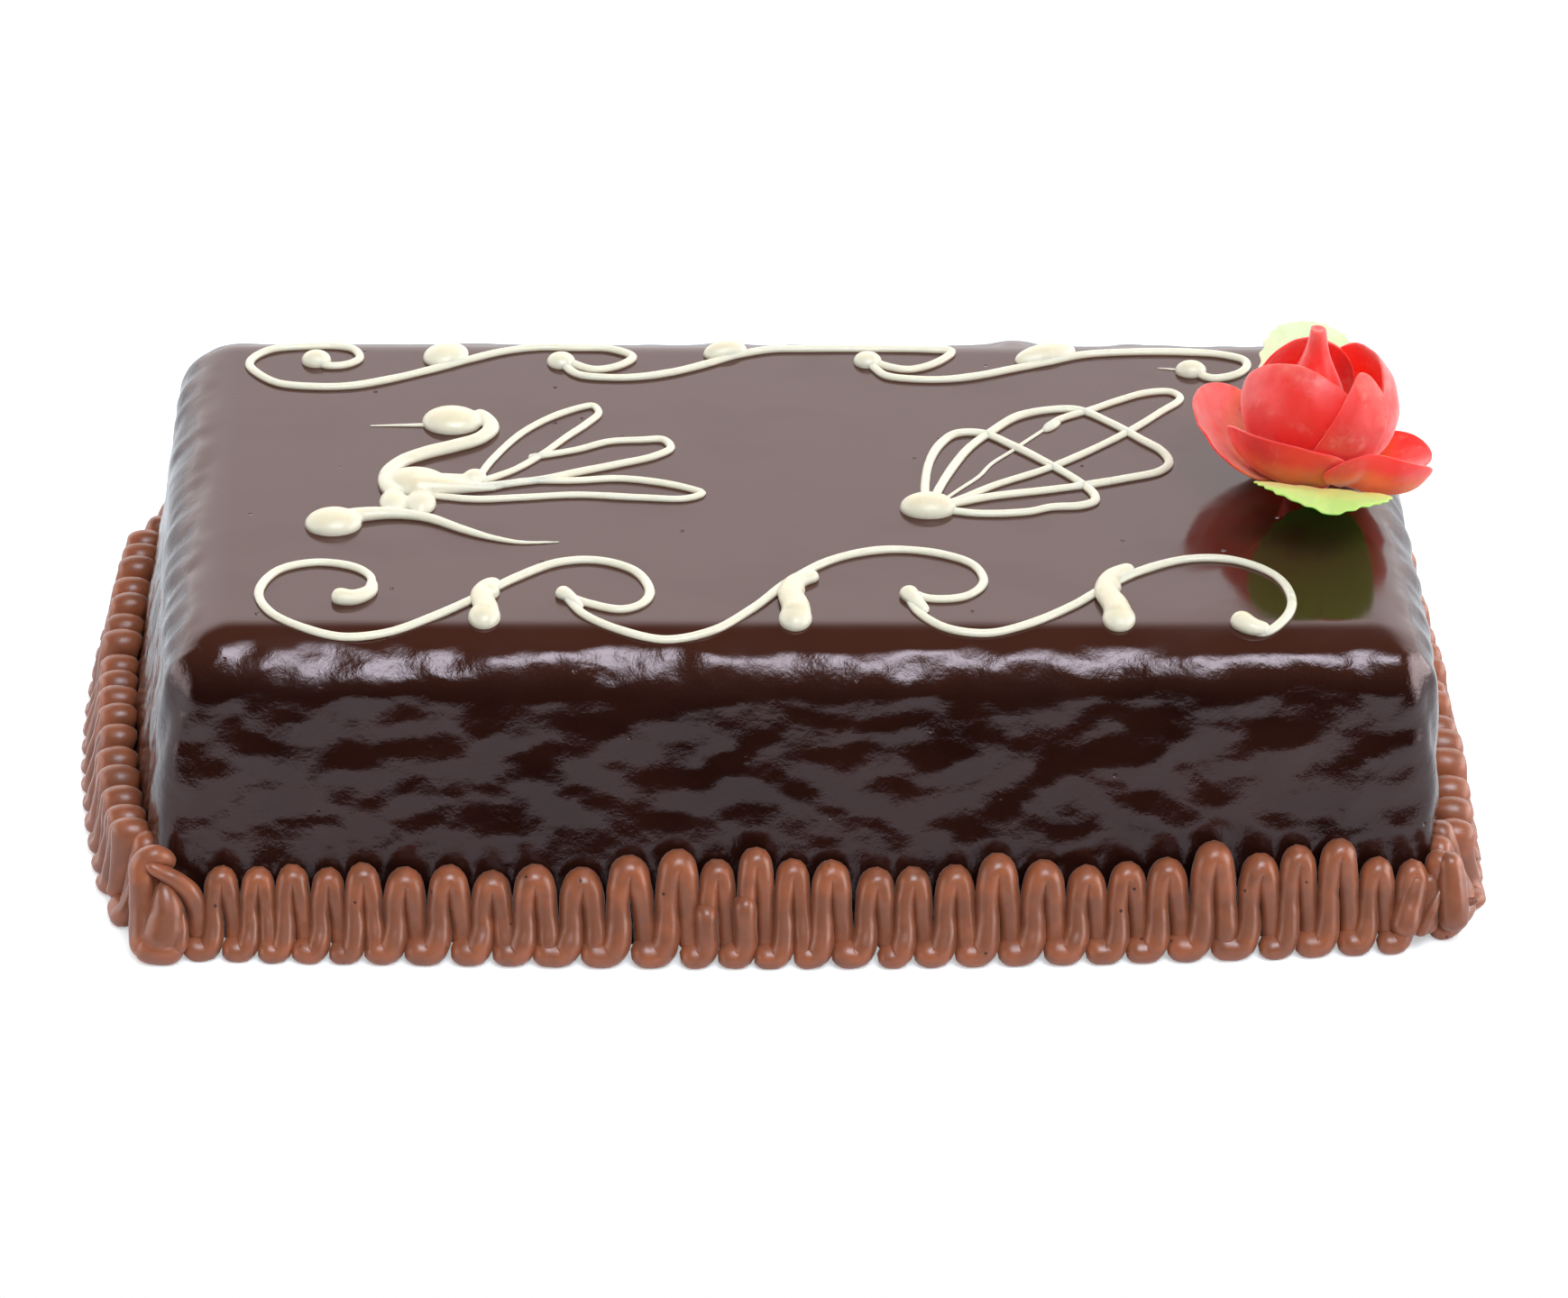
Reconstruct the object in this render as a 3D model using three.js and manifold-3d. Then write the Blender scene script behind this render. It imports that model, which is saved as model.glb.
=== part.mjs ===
import * as THREE from "three";
import { mergeVertices } from "three/addons/utils/BufferGeometryUtils.js";
import Module from "manifold-3d";

// A whole rectangular layer cake under a poured dark glaze, with a piped cream border round its
// foot, white piping on top and a wafer rose at the right. Millimetres, +Z up, front towards -Y.
// The cake stands on z = 0, with its middle over the origin.

// The glazed block: its virtual top rectangle, before the edges are rounded, and how many steps
// its outline has along the front and along a side.
const CAKE = {
  length: 245.5,
  depth: 130,
  height: 62.5,
  x: 1.25,
  y: 0.25,
  edgeRadius: 8,
  cornerRadius: 10,
  longSteps: 8,
  shortSteps: 4,
};

// The walls lean out to a curved foot. Front, right, back and left: how far the foot stands out
// beyond the top's edge in the wall's middle, how much less it does where the wall begins and
// ends, going round the cake from the front left, and how far the border reaches from the foot.
const WALLS = [
  { middle: 7.5, first: 3.4, last: 5.5, reach: 10.2 },
  { middle: 5.8, first: 2.6, last: 2.2, reach: 10.8 },
  { middle: 7, first: 3, last: 3, reach: 10.2 },
  { middle: 11, first: 5.6, last: 7, reach: 8.5 },
];

// The border: one round rope of cream, laid up and down against the foot of each wall.
const BORDER = {
  height: 18.6,
  unevenness: 1.6,
  cornerReach: 9,
  ropePerPitch: 0.265,
  frontRope: 1.86,
  shoulder: 0.5,
  legSway: 1.2,
  wallGap: 0.7,
  cornerGap: 0.6,
  tableGap: 0.03,
  endClearance: 2.2,
  backLoops: 30,
  endLoops: 16,
  cornerLoops: 2,
  ropeSides: 6,
  seed: 7,
};

// The front run's arches, each by its place along the wall and the height of its top.
const FRONT_ARCHES = [
  [-109.9, 17.3], [-103.5, 17.3], [-97.3, 17.9], [-90.8, 17.3], [-84.2, 18.5], [-76, 17.9],
  [-67.4, 18.5], [-59.1, 17.3], [-50.9, 18.9], [-41.6, 18.3], [-32.5, 21], [-22.9, 22.3],
  [-15.4, 20], [-7.9, 22.5], [-0.8, 20], [6.7, 20], [15.7, 18.3], [22.7, 18.3], [31, 18.7],
  [39.1, 21.2], [48.3, 19.7], [56.8, 18.3], [64.7, 18.9], [72.4, 19.7], [81.4, 23.1],
  [90.8, 20.2], [98.1, 21.6], [105.4, 22.9], [111.8, 18.3],
];

// The white piping on the flat top, and the point of the top that its routes are measured from.
const PIPING = { width: 1.9, height: 1.4, featherTurns: 10, centreX: 2, centreY: -1.75 };

// The wafer rose, its axis from the piping's centre, and heights above the glaze.
const ROSE = { x: 102.8, y: 2.35, height: 37.1, wafer: 0.8, coreRadius: 6, rootRadius: 6.8 };
const LEAF = {
  length: 34,
  width: 28,
  root: 7.5,
  rootHeight: 0.6,
  crease: 1.6,
  teeth: 6,
  toothDepth: 1.1,
  thickness: 0.8,
};

const CREAM = { color: 0x8f5a3e, roughness: 0.5, metalness: 0 };
const GLAZE = { color: 0x24120d, roughness: 0.15, metalness: 0 };
const WHITE = { color: 0xf1ead6, roughness: 0.35, metalness: 0 };
const PETAL = { color: 0xe8322a, roughness: 0.55, metalness: 0 };
const GREEN = { color: 0x8fdc5c, roughness: 0.6, metalness: 0 };

const degrees = THREE.MathUtils.degToRad;

const wasm = await Module();
wasm.setup();

// A small seeded generator of numbers from 0 to 1.
function seededRandom(seed) {
  let state = seed;
  return () => {
    state = (state * 16807) % 2147483647;
    return state / 2147483647;
  };
}

// Joins the doubled points of a geometry, keeping nothing but positions.
function weld(geometry) {
  const bare = geometry.clone();
  bare.deleteAttribute("normal");
  bare.deleteAttribute("uv");
  return mergeVertices(bare, 1e-4);
}

function toSolid(geometry) {
  const merged = weld(geometry);
  return new wasm.Manifold(
    new wasm.Mesh({
      numProp: 3,
      vertProperties: merged.attributes.position.array,
      triVerts: new Uint32Array(merged.index.array),
    }),
  );
}

function toGeometry(solid) {
  const made = solid.getMesh();
  return new THREE.BufferGeometry()
    .setAttribute("position", new THREE.BufferAttribute(made.vertProperties, 3))
    .setIndex(new THREE.BufferAttribute(made.triVerts, 1));
}

function piece(name, geometry, finish) {
  const facets = geometry.index ? geometry.toNonIndexed() : geometry;
  facets.computeVertexNormals();
  const mesh = new THREE.Mesh(facets, new THREE.MeshStandardMaterial(finish));
  mesh.name = name;
  return mesh;
}

// Glazed block

// The outline of a rectangle with round corners, with steps along its straight sides.
function roundedRectangle(length, depth, radius) {
  const x = length / 2 - radius;
  const y = depth / 2 - radius;
  const middles = [[x, -y], [x, y], [-x, y], [-x, -y]];
  const points = [];
  middles.forEach(([middleX, middleY], quarter) => {
    const from = ((quarter - 1) * Math.PI) / 2;
    for (let i = 0; i <= 3; i++) {
      const angle = from + (i * Math.PI) / 6;
      const [acrossX, acrossY] = [radius * Math.cos(angle), radius * Math.sin(angle)];
      points.push(new THREE.Vector2(middleX + acrossX, middleY + acrossY));
    }
    const start = points.at(-1);
    const [nextX, nextY] = middles[(quarter + 1) % 4];
    const end = start.clone().add(new THREE.Vector2(nextX - middleX, nextY - middleY));
    const steps = quarter % 2 ? CAKE.longSteps : CAKE.shortSteps;
    for (let i = 1; i < steps; i++) points.push(start.clone().lerp(end, i / steps));
  });
  return new THREE.Shape(points);
}

// Sides are counted in quarter turns from the front, and a place along a side is counted the way
// that runs round the cake from the front left.

// Half of the top's length along a side.
function halfSpan(side) {
  return (side % 2 ? CAKE.depth : CAKE.length) / 2;
}

// How far the top's edge is from the middle of the room on a side.
function topEdge(side) {
  return halfSpan(side + 1) + [-CAKE.y, CAKE.x, CAKE.y, -CAKE.x][side];
}

// How far a wall's foot stands out beyond the top's edge at a place along it.
function footLean(side, along) {
  const { middle, first, last } = WALLS[side];
  const share = along / halfSpan(side);
  return middle - (share < 0 ? first : last) * share * share;
}

// The foot's distance from the middle of the room, where a side begins (-1) or ends (1).
function footEnd(side, end) {
  return topEdge(side) + footLean(side, end * halfSpan(side));
}

// The rounded block leans out evenly from its top rectangle to its foot.
function glazedCake() {
  const { length, depth, height, edgeRadius } = CAKE;
  const flatTop = roundedRectangle(
    length - 2 * edgeRadius,
    depth - 2 * edgeRadius,
    CAKE.cornerRadius - edgeRadius,
  );
  const block = new THREE.ExtrudeGeometry(flatTop, {
    depth: height - edgeRadius,
    bevelSize: edgeRadius,
    bevelThickness: edgeRadius,
    bevelSegments: 4,
  });
  const at = block.attributes.position;
  for (let i = 0; i < at.count; i++) {
    const [x, y] = [at.getX(i), at.getY(i)];
    const fall = 1 - at.getZ(i) / height;
    const leanX = x > 0 ? footLean(1, y) : footLean(3, -y);
    const leanY = y > 0 ? footLean(2, -x) : footLean(0, x);
    at.setX(i, x + leanX * fall * ((2 * x) / length) + CAKE.x);
    at.setY(i, y + leanY * fall * ((2 * y) / depth) + CAKE.y);
  }
  return toGeometry(toSolid(block).trimByPlane([0, 0, 1], 0));
}

// Border

// The rope's route: arches on the wall and rounded toes on the table, with the leg that falls
// from an arch nearer the wall than the leg that climbs to the next. Each arch has a place, a top
// and the places where it begins and ends, and six stations: the crown and both shoulders of the
// arch, and the same of the toe. The rail turns a distance along the foot and one out from it
// into a point of the plan, and lean tells how far the wall draws back over its height. Reach is
// how far the border stands out from the wall's foot.
class PipedRoute extends THREE.Curve {
  constructor({ rail, arches, rope, reach, lean }) {
    super();
    Object.assign(this, { rail, arches, rope, reach, lean });
    this.toe = rope * Math.cos(Math.PI / BORDER.ropeSides) + BORDER.tableGap;
    this.stations = 6 * arches.length + 1;
  }

  // One station: its place along the wall, its height, its sway and its arch.
  station(index) {
    const number = Math.min(Math.floor(index / 6), this.arches.length - 1);
    const arch = this.arches[number];
    const { place, from, to } = arch;
    const { toe } = this;
    const crown = arch.top - this.rope;
    const [left, right] = [(place + from) / 2, (place + to) / 2];
    const shoulder = (BORDER.shoulder * (to - from)) / 4;
    const [along, z, sway] = [
      [from, toe, 0],
      [left, toe + shoulder, 1],
      [left, crown - shoulder, 1],
      [place, crown, 0],
      [right, crown - shoulder, -1],
      [right, toe + shoulder, -1],
      [to, toe, 0],
    ][index - 6 * number];
    return { along, z, sway, place, crown };
  }

  getPoint(t, target = new THREE.Vector3(), further = 0) {
    const at = t * (this.stations - 1);
    const index = Math.min(Math.floor(at), this.stations - 2);
    const a = this.station(index);
    const b = this.station(index + 1);
    const mix = at - index;
    const along = THREE.MathUtils.lerp(a.along, b.along, mix);
    const z = THREE.MathUtils.lerp(a.z, b.z, mix);
    const sway = THREE.MathUtils.lerp(a.sway, b.sway, mix);
    const inner = this.rope + BORDER.wallGap - (this.lean(a.place) * a.crown) / CAKE.height;
    const outer = this.reach - this.rope;
    const rise = (z - this.toe) / (a.crown - this.toe);
    const out = THREE.MathUtils.lerp(outer, inner, rise) + (BORDER.legSway / 2) * sway;
    const [x, y] = this.rail(along, out + further);
    return target.set(x, y, z);
  }

  // At a station the rope points along the mean of the two stretches that meet there.
  getTangent(t, target = new THREE.Vector3()) {
    const reach = 0.5 / (this.stations - 1);
    const before = this.getPoint(Math.max(0, t - reach));
    const after = this.getPoint(Math.min(1, t + reach));
    return target.subVectors(after, before).normalize();
  }

  // The rope's section keeps one corner turned away from the wall.
  computeFrenetFrames(segments) {
    const frames = { tangents: [], normals: [], binormals: [] };
    for (let i = 0; i <= segments; i++) {
      const t = i / segments;
      const tangent = this.getTangent(t);
      const outward = this.getPoint(t, new THREE.Vector3(), 1).sub(this.getPoint(t));
      const binormal = new THREE.Vector3().crossVectors(tangent, outward).normalize();
      frames.tangents.push(tangent);
      frames.binormals.push(binormal);
      frames.normals.push(new THREE.Vector3().crossVectors(binormal, tangent));
    }
    return frames;
  }

  // Stations stay where they are, rather than being spread evenly by length.
  getUtoTmapping(u) {
    return u;
  }
}

function rope(route) {
  const section = new THREE.Shape().absarc(0, 0, route.rope, 0, 2 * Math.PI);
  return new THREE.ExtrudeGeometry(section, {
    steps: route.stations - 1,
    curveSegments: BORDER.ropeSides / 2,
    extrudePath: route,
  });
}

// A rail along the curved foot of one side, whose lean is given for a place along it.
function sideRail(side, lean) {
  const angle = (side * Math.PI) / 2;
  const cos = Math.round(Math.cos(angle));
  const sin = Math.round(Math.sin(angle));
  return (along, out) => {
    const y = -(topEdge(side) + lean(along) + out);
    return [along * cos - y * sin, along * sin + y * cos];
  };
}

// Gives each arch, by its place and top, the places halfway to its neighbours; the row of arches
// begins and ends at the given places.
function archRow(crowns, begin, end) {
  const halfway = (i) => (crowns[i][0] + crowns[i + 1][0]) / 2;
  return crowns.map(([place, top], i) => ({
    place,
    top,
    from: i === 0 ? begin : halfway(i - 1),
    to: i === crowns.length - 1 ? end : halfway(i),
  }));
}

// Arches at even places between two ends, with uneven tops.
function evenArches(begin, end, count, random) {
  const pitch = (end - begin) / count;
  const crowns = Array.from({ length: count }, (_, i) => [
    begin + (i + 0.5) * pitch,
    BORDER.height + BORDER.unevenness * (2 * random() - 1),
  ]);
  return archRow(crowns, begin, end);
}

function sideBorder(side, random) {
  const before = footEnd((side + 3) % 4, 1);
  const after = footEnd((side + 1) % 4, -1);
  const begin = CAKE.cornerRadius + BORDER.endClearance - before;
  const end = after - CAKE.cornerRadius - BORDER.endClearance;
  const count = side % 2 ? BORDER.endLoops : BORDER.backLoops;
  const front = side === 0;
  const shrink = (2 * halfSpan(side)) / (before + after);
  const lean = (along) => footLean(side, along * shrink);
  return rope(
    new PipedRoute({
      rail: sideRail(side, lean),
      arches: front ? archRow(FRONT_ARCHES, begin, end) : evenArches(begin, end, count, random),
      rope: front ? BORDER.frontRope : (BORDER.ropePerPitch * (end - begin)) / count,
      reach: WALLS[side].reach,
      lean,
    }),
  );
}

// A rail round one corner, its quarter counted from the corner at -X and -Y.
function cornerRail(quarter, x, y) {
  const [middleX, middleY] = [[-x, -y], [x, -y], [x, y], [-x, y]][quarter];
  const from = Math.PI + (quarter * Math.PI) / 2;
  return (along, out) => {
    const angle = from + along / CAKE.cornerRadius;
    const radius = CAKE.cornerRadius + BORDER.cornerGap + out;
    return [middleX + radius * Math.cos(angle), middleY + radius * Math.sin(angle)];
  };
}

// The rope round a corner, which stands between the end of one side and the start of the next.
function cornerBorder(quarter, random) {
  const before = (quarter + 3) % 4;
  const ends = [footEnd(before, 1), footEnd(quarter, -1)];
  const [x, y] = (quarter % 2 ? ends.reverse() : ends).map((foot) => foot - CAKE.cornerRadius);
  const length = (CAKE.cornerRadius * Math.PI) / 2;
  const lean = Math.min(footLean(before, halfSpan(before)), footLean(quarter, -halfSpan(quarter)));
  return rope(
    new PipedRoute({
      rail: cornerRail(quarter, x, y),
      arches: evenArches(0, length, BORDER.cornerLoops, random),
      rope: (BORDER.ropePerPitch * length) / BORDER.cornerLoops,
      reach: BORDER.cornerReach,
      lean: () => lean,
    }),
  );
}

// White piping

// A smooth route through a few turning points, whose steps crowd where the points do.
class StrokeRoute extends THREE.CatmullRomCurve3 {
  getUtoTmapping(u) {
    return u;
  }
}

// One stroke of piping with a flat underside.
function stroke(points, width = PIPING.width, steps = 2 * (points.length - 1)) {
  const route = new StrokeRoute(
    points.map(([x, y]) => new THREE.Vector3(x, y, 0)),
    false,
    "centripetal",
  );
  const height = (width * PIPING.height) / PIPING.width;
  const half = width / 2;
  const section = new THREE.Shape([
    new THREE.Vector2(0, -half),
    new THREE.Vector2(0, half),
    new THREE.Vector2(-height, 0.45 * half),
    new THREE.Vector2(-height, -0.45 * half),
  ]);
  return toSolid(new THREE.ExtrudeGeometry(section, { steps, extrudePath: route }));
}

// A drop of piping: half of a squashed ball, longest along its turn.
function drop(x, y, length, width, height, turn = 0) {
  const ball = new THREE.SphereGeometry(1, 8, 4);
  ball.rotateX(Math.PI / 2);
  ball.scale(length / 2, width / 2, height);
  ball.rotateZ(turn);
  ball.translate(x, y, 0);
  return toSolid(ball).trimByPlane([0, 0, 1], 0);
}

function fused(solids) {
  return toGeometry(wasm.Manifold.union(solids));
}

// Three running scrolls along the front edge, with a fat twisted drop at each join.
function frontScrolls() {
  return fused([
    stroke([
      [-89.2, -43.1], [-85.6, -35.2], [-95.5, -30.2], [-106.3, -41.5], [-97.8, -53.9],
      [-81.3, -55.2], [-63.9, -43], [-48, -30], [-34, -32.5], [-31.5, -44], [-42.1, -45.7],
      [-47, -43.3],
    ]),
    stroke([
      [-47.3, -44.7], [-36.2, -54.7], [-18.8, -54.7], [-2.4, -36], [16.7, -24.9], [33.2, -30.7],
      [30.7, -42.7], [19.4, -40],
    ]),
    stroke([
      [19.4, -41.1], [34.3, -55.2], [51.6, -46], [66.8, -32.3], [84.9, -28.8], [94.6, -43.5],
      [87.7, -55], [82.8, -51],
    ]),
    drop(-88.6, -44, 5.6, 5, 2.6, 0.6),
    drop(-46, -45, 5, 4.6, 2.4),
    drop(20, -41.5, 5, 4.6, 2.4),
    drop(84.2, -52.6, 6.4, 4.6, 2.6, -0.9),
    drop(-62.2, -46, 14.4, 4.4, 3, 1.5),
    drop(-1.8, -44.6, 18, 4.4, 3, 1.5),
    drop(60.2, -43.4, 20.4, 4.6, 3, 1.6),
  ]);
}

// Three more along the back edge, laid the other way about.
function backScrolls() {
  return fused([
    stroke([
      [-95.8, 51.6], [-90.8, 48.6], [-89.2, 55], [-99.2, 56.5], [-109.4, 51.5], [-104.1, 41],
      [-85, 41.2], [-65.9, 50.7], [-43.1, 56.2], [-32.6, 53], [-39.9, 47.1], [-47, 52],
    ]),
    stroke([
      [-47, 52], [-41, 44.2], [-26, 45.2], [-9.9, 53.4], [14, 56.8], [33.6, 54.6], [25.2, 47.5],
      [16.2, 52.4],
    ]),
    stroke([
      [16.4, 51.6], [22, 43.8], [39.2, 45], [61, 53.8], [83.3, 55.1], [94.7, 49.6], [87, 44.2],
      [83.4, 47.2],
    ]),
    drop(-96.5, 50.6, 6.2, 5.4, 2.8),
    drop(-46.4, 50.4, 6, 5.6, 2.6),
    drop(16.6, 51, 6, 5.4, 2.6),
    drop(83, 47.4, 6.6, 5.2, 2.6),
    drop(-70, 52.6, 10, 8, 3, 0.5),
    drop(-12.6, 54.6, 9.5, 5.4, 3, 0.3),
    drop(53.4, 53.6, 14, 6, 3, 0.4),
  ]);
}

// A loop that leaves a root, swells to its width and comes back beside it.
function featherLoop([rootX, rootY], [tipX, tipY], spread) {
  const length = Math.hypot(tipX - rootX, tipY - rootY);
  const [ux, uy] = [(tipX - rootX) / length, (tipY - rootY) / length];
  const points = [];
  for (let i = 0; i <= PIPING.featherTurns; i++) {
    const round = (2 * Math.PI * i) / PIPING.featherTurns;
    const along = (length * (1 - Math.cos(round))) / 2;
    const across = (spread / 2) * Math.sin(round) * (0.35 + (0.75 * along) / length);
    points.push([rootX + ux * along - uy * across, rootY + uy * along + ux * across]);
  }
  return stroke(points, PIPING.width * 0.8, PIPING.featherTurns);
}

// A long-necked bird with three looped feathers, standing on a tapering stroke.
function pipedBird() {
  return fused([
    stroke([[-85.6, 24.1], [-74, 24.3], [-68, 25]], 0.9),
    drop(-68.8, 25.2, 12.4, 8.6, 3.6),
    stroke([
      [-65, 27], [-60.9, 22.4], [-66, 16.2], [-74.1, 12.2], [-81, 6], [-80.6, -2], [-76, -5],
    ], 2.8),
    drop(-74.6, -0.8, 16, 9, 3.6, -0.25),
    drop(-63.4, 1.8, 5.4, 4.6, 2.6, 0.6),
    featherLoop([-64.4, 1.4], [-40, 33], 7.6),
    featherLoop([-69, -0.4], [-25, 17.4], 7.4),
    featherLoop([-69, -3], [-19.4, -2], 6.6),
    stroke([[-79.6, -1], [-80.2, -7], [-80.4, -13]], 2.4),
    stroke([[-73.6, -2], [-72.6, -8], [-74.6, -13]], 2.2),
    drop(-92.2, -15, 12, 8.4, 3.6, 0.1),
    stroke([[-92, -14], [-84.8, -11.7], [-76, -12.4], [-67, -17.3]], 2.8),
    stroke([[-69, -16], [-61.2, -20.4], [-55.3, -22.1], [-47.4, -21.7]], 1.2),
  ]);
}

// A fan of three wide loops springing from one drop.
function pipedFan() {
  return fused([
    drop(25.6, -8.8, 11.6, 8.4, 3.8),
    stroke([
      [26.6, -8], [26.9, 9.5], [35.6, 22], [50, 10], [59.6, -4.2], [50.1, -8.6], [35.6, -10.8],
      [28, -9],
    ]),
    stroke([
      [27.4, -7], [31.7, 8], [46, 28.2], [57, 31.6], [70.4, 18.8], [75, 8.4], [58, 0.6],
      [38.5, -4.1], [29, -7.6],
    ]),
    stroke([
      [29, -7], [39.6, 0.5], [57.9, 12.9], [75, 29.9], [79.4, 37.8], [66.7, 34.7], [51.3, 23.5],
      [39.4, 9.2], [29, -6],
    ], 1.4),
  ]);
}

// Wafer rose

// A thin closed sheet: surface gives the middle of the wafer for s and t from 0 to 1, and the
// two faces lie half the thickness to each side of it, split into triangles alike.
function sheet(surface, thickness, rows, columns) {
  const positions = [];
  const indices = [];
  const nudge = 1e-3;
  for (const side of [-0.5, 0.5])
    for (let i = 0; i <= rows; i++)
      for (let j = 0; j <= columns; j++) {
        const [s, t] = [i / rows, j / columns];
        const here = surface(s, t);
        const ahead = surface(s + nudge, t).sub(surface(s - nudge, t));
        const across = surface(s, t + nudge).sub(surface(s, t - nudge));
        const normal = ahead.cross(across).normalize();
        positions.push(...here.addScaledVector(normal, side * thickness).toArray());
      }
  const layer = (rows + 1) * (columns + 1);
  const at = (side, i, j) => side * layer + i * (columns + 1) + j;
  const quad = (a, b, c, d) => indices.push(a, b, c, a, c, d);
  for (let i = 0; i < rows; i++)
    for (let j = 0; j < columns; j++) {
      const corners = [at(0, i, j), at(0, i, j + 1), at(0, i + 1, j + 1), at(0, i + 1, j)];
      quad(...corners);
      const above = corners.map((corner) => corner + layer);
      indices.push(above[0], above[2], above[1], above[0], above[3], above[2]);
    }
  for (let i = 0; i < rows; i++) {
    quad(at(0, i + 1, 0), at(1, i + 1, 0), at(1, i, 0), at(0, i, 0));
    quad(at(0, i, columns), at(1, i, columns), at(1, i + 1, columns), at(0, i + 1, columns));
  }
  for (let j = 0; j < columns; j++) {
    quad(at(0, 0, j), at(1, 0, j), at(1, 0, j + 1), at(0, 0, j + 1));
    quad(at(0, rows, j + 1), at(1, rows, j + 1), at(1, rows, j), at(0, rows, j));
  }
  return new THREE.BufferGeometry()
    .setAttribute("position", new THREE.Float32BufferAttribute(positions, 3))
    .setIndex(indices);
}

// Rounds a petal's rim: how far out, from 0 to 1, the wafer reaches at a place across it.
function rimCurve(s, across) {
  return Math.max(0, s) * (1 - 0.24 * across * across);
}

// Half of a petal's width at a place from its root to its rim.
function petalSpread(s) {
  return 0.38 + 0.62 * Math.sin(Math.PI * Math.min(0.5, 0.72 * s));
}

// A closed petal stands on an egg round the rose's axis, from its foot's climb to its top's. Lean
// turns it on the way up, early lets it climb sooner, and flare opens its last side.
function cupPetal({
  azimuth, spread, radius, rise, top, middle = 18, foot = -62, lean = 0, early = 1, flare = 0,
}) {
  return (s, t) => {
    const across = 2 * t - 1;
    const reach = rimCurve(s, across);
    const climb = degrees(THREE.MathUtils.lerp(foot, top, reach ** early));
    const turn = degrees(azimuth + spread * petalSpread(s) * across + lean * reach);
    const opening = flare * THREE.MathUtils.smoothstep(across, -0.2, 1);
    const out = radius * Math.cos(climb) + opening;
    const z = middle + rise * Math.sin(climb);
    return new THREE.Vector3(out * Math.cos(turn), out * Math.sin(turn), z);
  };
}

// An open petal runs out from the root like a scoop, ever steeper, and is bent up across.
function openPetal({ azimuth, rootHeight, length, halfWidth, firstSlope, lastSlope, bend }) {
  const first = degrees(firstSlope);
  const gain = degrees(lastSlope - firstSlope);
  const turn = degrees(azimuth);
  return (s, t) => {
    const across = 2 * t - 1;
    const slope = first + gain * rimCurve(s, across);
    const angle = (halfWidth * petalSpread(s) * across) / bend;
    const raised = bend * (1 - Math.cos(angle));
    const side = bend * Math.sin(angle);
    const run = (length / gain) * (Math.sin(slope) - Math.sin(first));
    const climb = (length / gain) * (Math.cos(first) - Math.cos(slope));
    const out = ROSE.rootRadius + run - raised * Math.sin(slope);
    const z = rootHeight + climb + raised * Math.cos(slope);
    return new THREE.Vector3(
      out * Math.cos(turn) - side * Math.sin(turn),
      out * Math.sin(turn) + side * Math.cos(turn),
      z,
    );
  };
}

const petalSheet = (surface) => sheet(surface, ROSE.wafer, 5, 5);

// The rolled bud and the foot that it stands on, a turned shape under the petals.
function roseBud() {
  const profile = [
    [0, 0],
    [ROSE.coreRadius, 0],
    [5, 4],
    [4.6, 9],
    [7.2, 16],
    [7, 21],
    [5, 25.5],
    [3.2, 29],
    [2.2, 33],
    [1.8, ROSE.height - 0.4],
    [1.5, ROSE.height],
    [0, ROSE.height],
  ];
  const turned = new THREE.LatheGeometry(
    profile.map(([x, y]) => new THREE.Vector2(x, y)),
    12,
  );
  turned.rotateX(Math.PI / 2);
  return weld(turned);
}

// A broad wafer leaf that rises outward from under the petals, with a toothed edge and a crease.
// Bow is 1 where it rises late and below 0 where it rises early, and tilt lifts one half.
function leaf({ azimuth, rim, width, bow, tilt }) {
  const heading = new THREE.Vector2(Math.cos(degrees(azimuth)), Math.sin(degrees(azimuth)));
  return sheet(
    (s, t) => {
      const across = 2 * t - 1;
      const tooth = Math.abs(((s * LEAF.teeth) % 1) - 0.5) * 2 * LEAF.toothDepth;
      const half = (width / 2) * (0.3 + 0.7 * Math.sin(Math.PI * (0.12 + 0.8 * s))) - tooth;
      const out = LEAF.root + (LEAF.length - LEAF.root) * s * (1 - 0.12 * across * across);
      const side = half * across;
      const climb = (rim - LEAF.rootHeight) * (s + bow * s * (s - 1));
      const lift = climb + (LEAF.crease * Math.abs(across) + tilt * across) * s;
      return new THREE.Vector3(
        out * heading.x - side * heading.y,
        out * heading.y + side * heading.x,
        LEAF.rootHeight + lift,
      );
    },
    LEAF.thickness,
    2 * LEAF.teeth,
    4,
  );
}

// Assembly

const random = seededRandom(BORDER.seed);
const cake = new THREE.Group();
cake.add(piece("glazed_cake", glazedCake(), GLAZE));

["front", "right", "back", "left"].forEach((side, quarter) =>
  cake.add(piece(`border_${side}`, sideBorder(quarter, random), CREAM)),
);
["front_left", "front_right", "back_right", "back_left"].forEach((corner, quarter) =>
  cake.add(piece(`corner_${corner}`, cornerBorder(quarter, random), CREAM)),
);

const topping = new THREE.Group();
topping.position.set(PIPING.centreX, PIPING.centreY, CAKE.height);
topping.add(piece("scrolls_front", frontScrolls(), WHITE));
topping.add(piece("scrolls_back", backScrolls(), WHITE));
topping.add(piece("piped_bird", pipedBird(), WHITE));
topping.add(piece("piped_fan", pipedFan(), WHITE));
cake.add(topping);

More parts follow.
